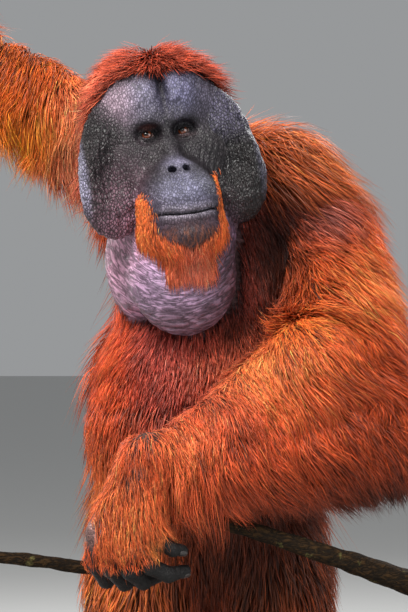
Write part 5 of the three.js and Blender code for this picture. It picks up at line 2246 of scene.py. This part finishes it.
@dataclass
class Stand:
    """The plain display stand: a flat base and one rod."""

    width: float = 800.0
    depth: float = 640.0
    thick: float = 20.0
    corner: float = 60.0
    bevel: float = 2.0
    rod_at: tuple[float, float] = (345.0, -240.0)
    rod_radius: float = 12.0
    rod_top: float = 499.0

    def _base(self) -> bpy.types.Object:
        """A flat plate with round corners and eased edges."""
        outline = []
        for sx, sy, first in ((1, 1, 0), (-1, 1, 90), (-1, -1, 180), (1, -1, 270)):
            for a in np.radians(np.linspace(first, first + 90, 13)):
                outline.append((sx * (self.width / 2 - self.corner) + self.corner * math.cos(a),
                                sy * (self.depth / 2 - self.corner) + self.corner * math.sin(a)))
        outline = np.array(outline)
        inward = -unit(outline / (self.width, self.depth))
        rings = []
        for z, inset in ((0, self.bevel), (self.bevel, 0), (self.thick - self.bevel, 0),
                         (self.thick - self.bevel * 0.3, self.bevel * 0.3), (self.thick, self.bevel)):
            rings.append(np.column_stack([outline + inward * inset, np.full(len(outline), float(z))]))
        ends = [(0, 0, 0), (0, 0, self.thick)]
        made = object_from("base_plate", np.vstack([*rings, ends]), ring_faces(5, len(outline)))
        face_out(made.data)
        return made

    def _rod(self) -> bpy.types.Object:
        """One rod with a foot collar, up to the lower branch."""
        x, y = self.rod_at
        foot, radius, sides = self.thick, self.rod_radius, 48
        profile = ((foot + 0.3, 26), (foot + 5, 26), (foot + 7.5, 23.5), (foot + 8, 13.5),
                   (foot + 12, radius), (self.rod_top - 24, radius), (self.rod_top - 2, radius))
        turn = np.linspace(0, 2 * math.pi, sides, endpoint=False)
        rings = [np.column_stack([x + r * np.cos(turn), y + r * np.sin(turn), np.full(sides, float(z))])
                 for z, r in profile]
        ends = [(x, y, profile[0][0]), (x, y, profile[-1][0])]
        made = object_from("support_rod", np.vstack([*rings, ends]), ring_faces(len(profile), sides))
        face_out(made.data)
        return made

    def dress(self, groups: Groups) -> None:
        """Builds the stand in satin dark grey."""
        finish = PlainFinish("satin_dark_grey", (54, 54, 57), 0.42, bump=0.08, coat=0.1)
        material = finish.material(groups)
        base = self._base()
        keep(base, material, ["stand_base"])
        rod = self._rod()
        keep(rod, material, ["stand_rod"])
        for made in (base, rod):
            bevel = made.modifiers.new("edges", "BEVEL")
            bevel.width, bevel.segments, bevel.limit_method = 0.0006, 2, "ANGLE"


@dataclass(frozen=True)
class Lamp:
    """A soft square light."""

    name: str
    at: tuple[float, float, float]
    to: tuple[float, float, float]
    size: float
    power: float
    colour: tuple[float, float, float] = (1.0, 1.0, 1.0)


@dataclass
class Studio:
    """The camera, the pale floor and the soft light."""

    lens: float = 150.0
    sensor: float = 36.0
    eye: tuple[float, float, float] = (0.0, -4.33, 0.943)
    lamps: tuple[Lamp, ...] = (
        Lamp("key", (-1.2, -2.3, 3.7), (0.0, 0.0, 1.0), 1.4, 280.0, (1.0, 0.98, 0.95)),
        Lamp("fill", (2.8, -2.4, 1.9), (0.0, 0.0, 0.9), 2.2, 42.0, (0.92, 0.96, 1.0)),
        Lamp("rim", (1.6, 2.2, 3.0), (0.0, 0.0, 1.1), 1.6, 110.0),
        Lamp("back", (-2.2, 2.2, 2.0), (0.0, 0.0, 1.0), 2.0, 45.0),
    )

    def _camera(self) -> None:
        """A level camera in front of the animal."""
        data = bpy.data.cameras.new("front")
        data.lens, data.sensor_height, data.sensor_width = self.lens, self.sensor, self.sensor
        data.sensor_fit = "VERTICAL"
        camera = linked("front", data)
        camera.location = self.eye
        camera.rotation_euler = (math.radians(90), 0, 0)
        bpy.context.scene.camera = camera

    def _floor(self) -> None:
        """A wide pale floor."""
        half = 30000
        corners = [(-half, -half, 0), (half, -half, 0), (half, half, 0), (-half, half, 0)]
        floor = object_from("floor", np.array(corners, float), [(0, 1, 2, 3)])
        material, _, shader = new_material("pale_floor")
        shader.inputs["Base Color"].default_value = (0.56, 0.56, 0.55, 1)
        shader.inputs["Roughness"].default_value = 0.9
        floor.data.materials.append(material)

    def _light(self) -> None:
        """Four soft lights and a pale surround."""
        for lamp in self.lamps:
            data = bpy.data.lights.new(lamp.name, "AREA")
            data.shape, data.size, data.energy, data.color = "SQUARE", lamp.size, lamp.power, lamp.colour
            light = linked(lamp.name, data)
            light.location = lamp.at
            aim = Vector(lamp.to) - Vector(lamp.at)
            light.rotation_euler = aim.to_track_quat("-Z", "Y").to_euler()
        world = bpy.data.worlds.new("surround")
        world.use_nodes = True
        shade = world.node_tree.nodes["Background"]
        shade.inputs["Color"].default_value = (0.86, 0.88, 0.9, 1)
        shade.inputs["Strength"].default_value = 0.36
        bpy.context.scene.world = world

    def build(self) -> None:
        """Sets the whole studio up."""
        self._camera()
        self._floor()
        self._light()
        bpy.context.scene.view_settings.view_transform = "Standard"


def main() -> None:
    """Builds and dresses the whole model."""
    Studio().build()
    groups = Groups()
    head = Head(HeadSizes())
    body = Body(head)
    volume = Volume(body)
    skin = Skin(body, volume)
    skin.build()
    skin.dress(groups)
    Eyes(head).dress(groups)
    Coat(body, volume, skin.whole).dress(groups)
    Bristles(body, skin.made).dress(groups)
    Nails().dress(groups)
    Perches().dress(groups)
    Stand().dress(groups)


if __name__ == "__main__":
    main()
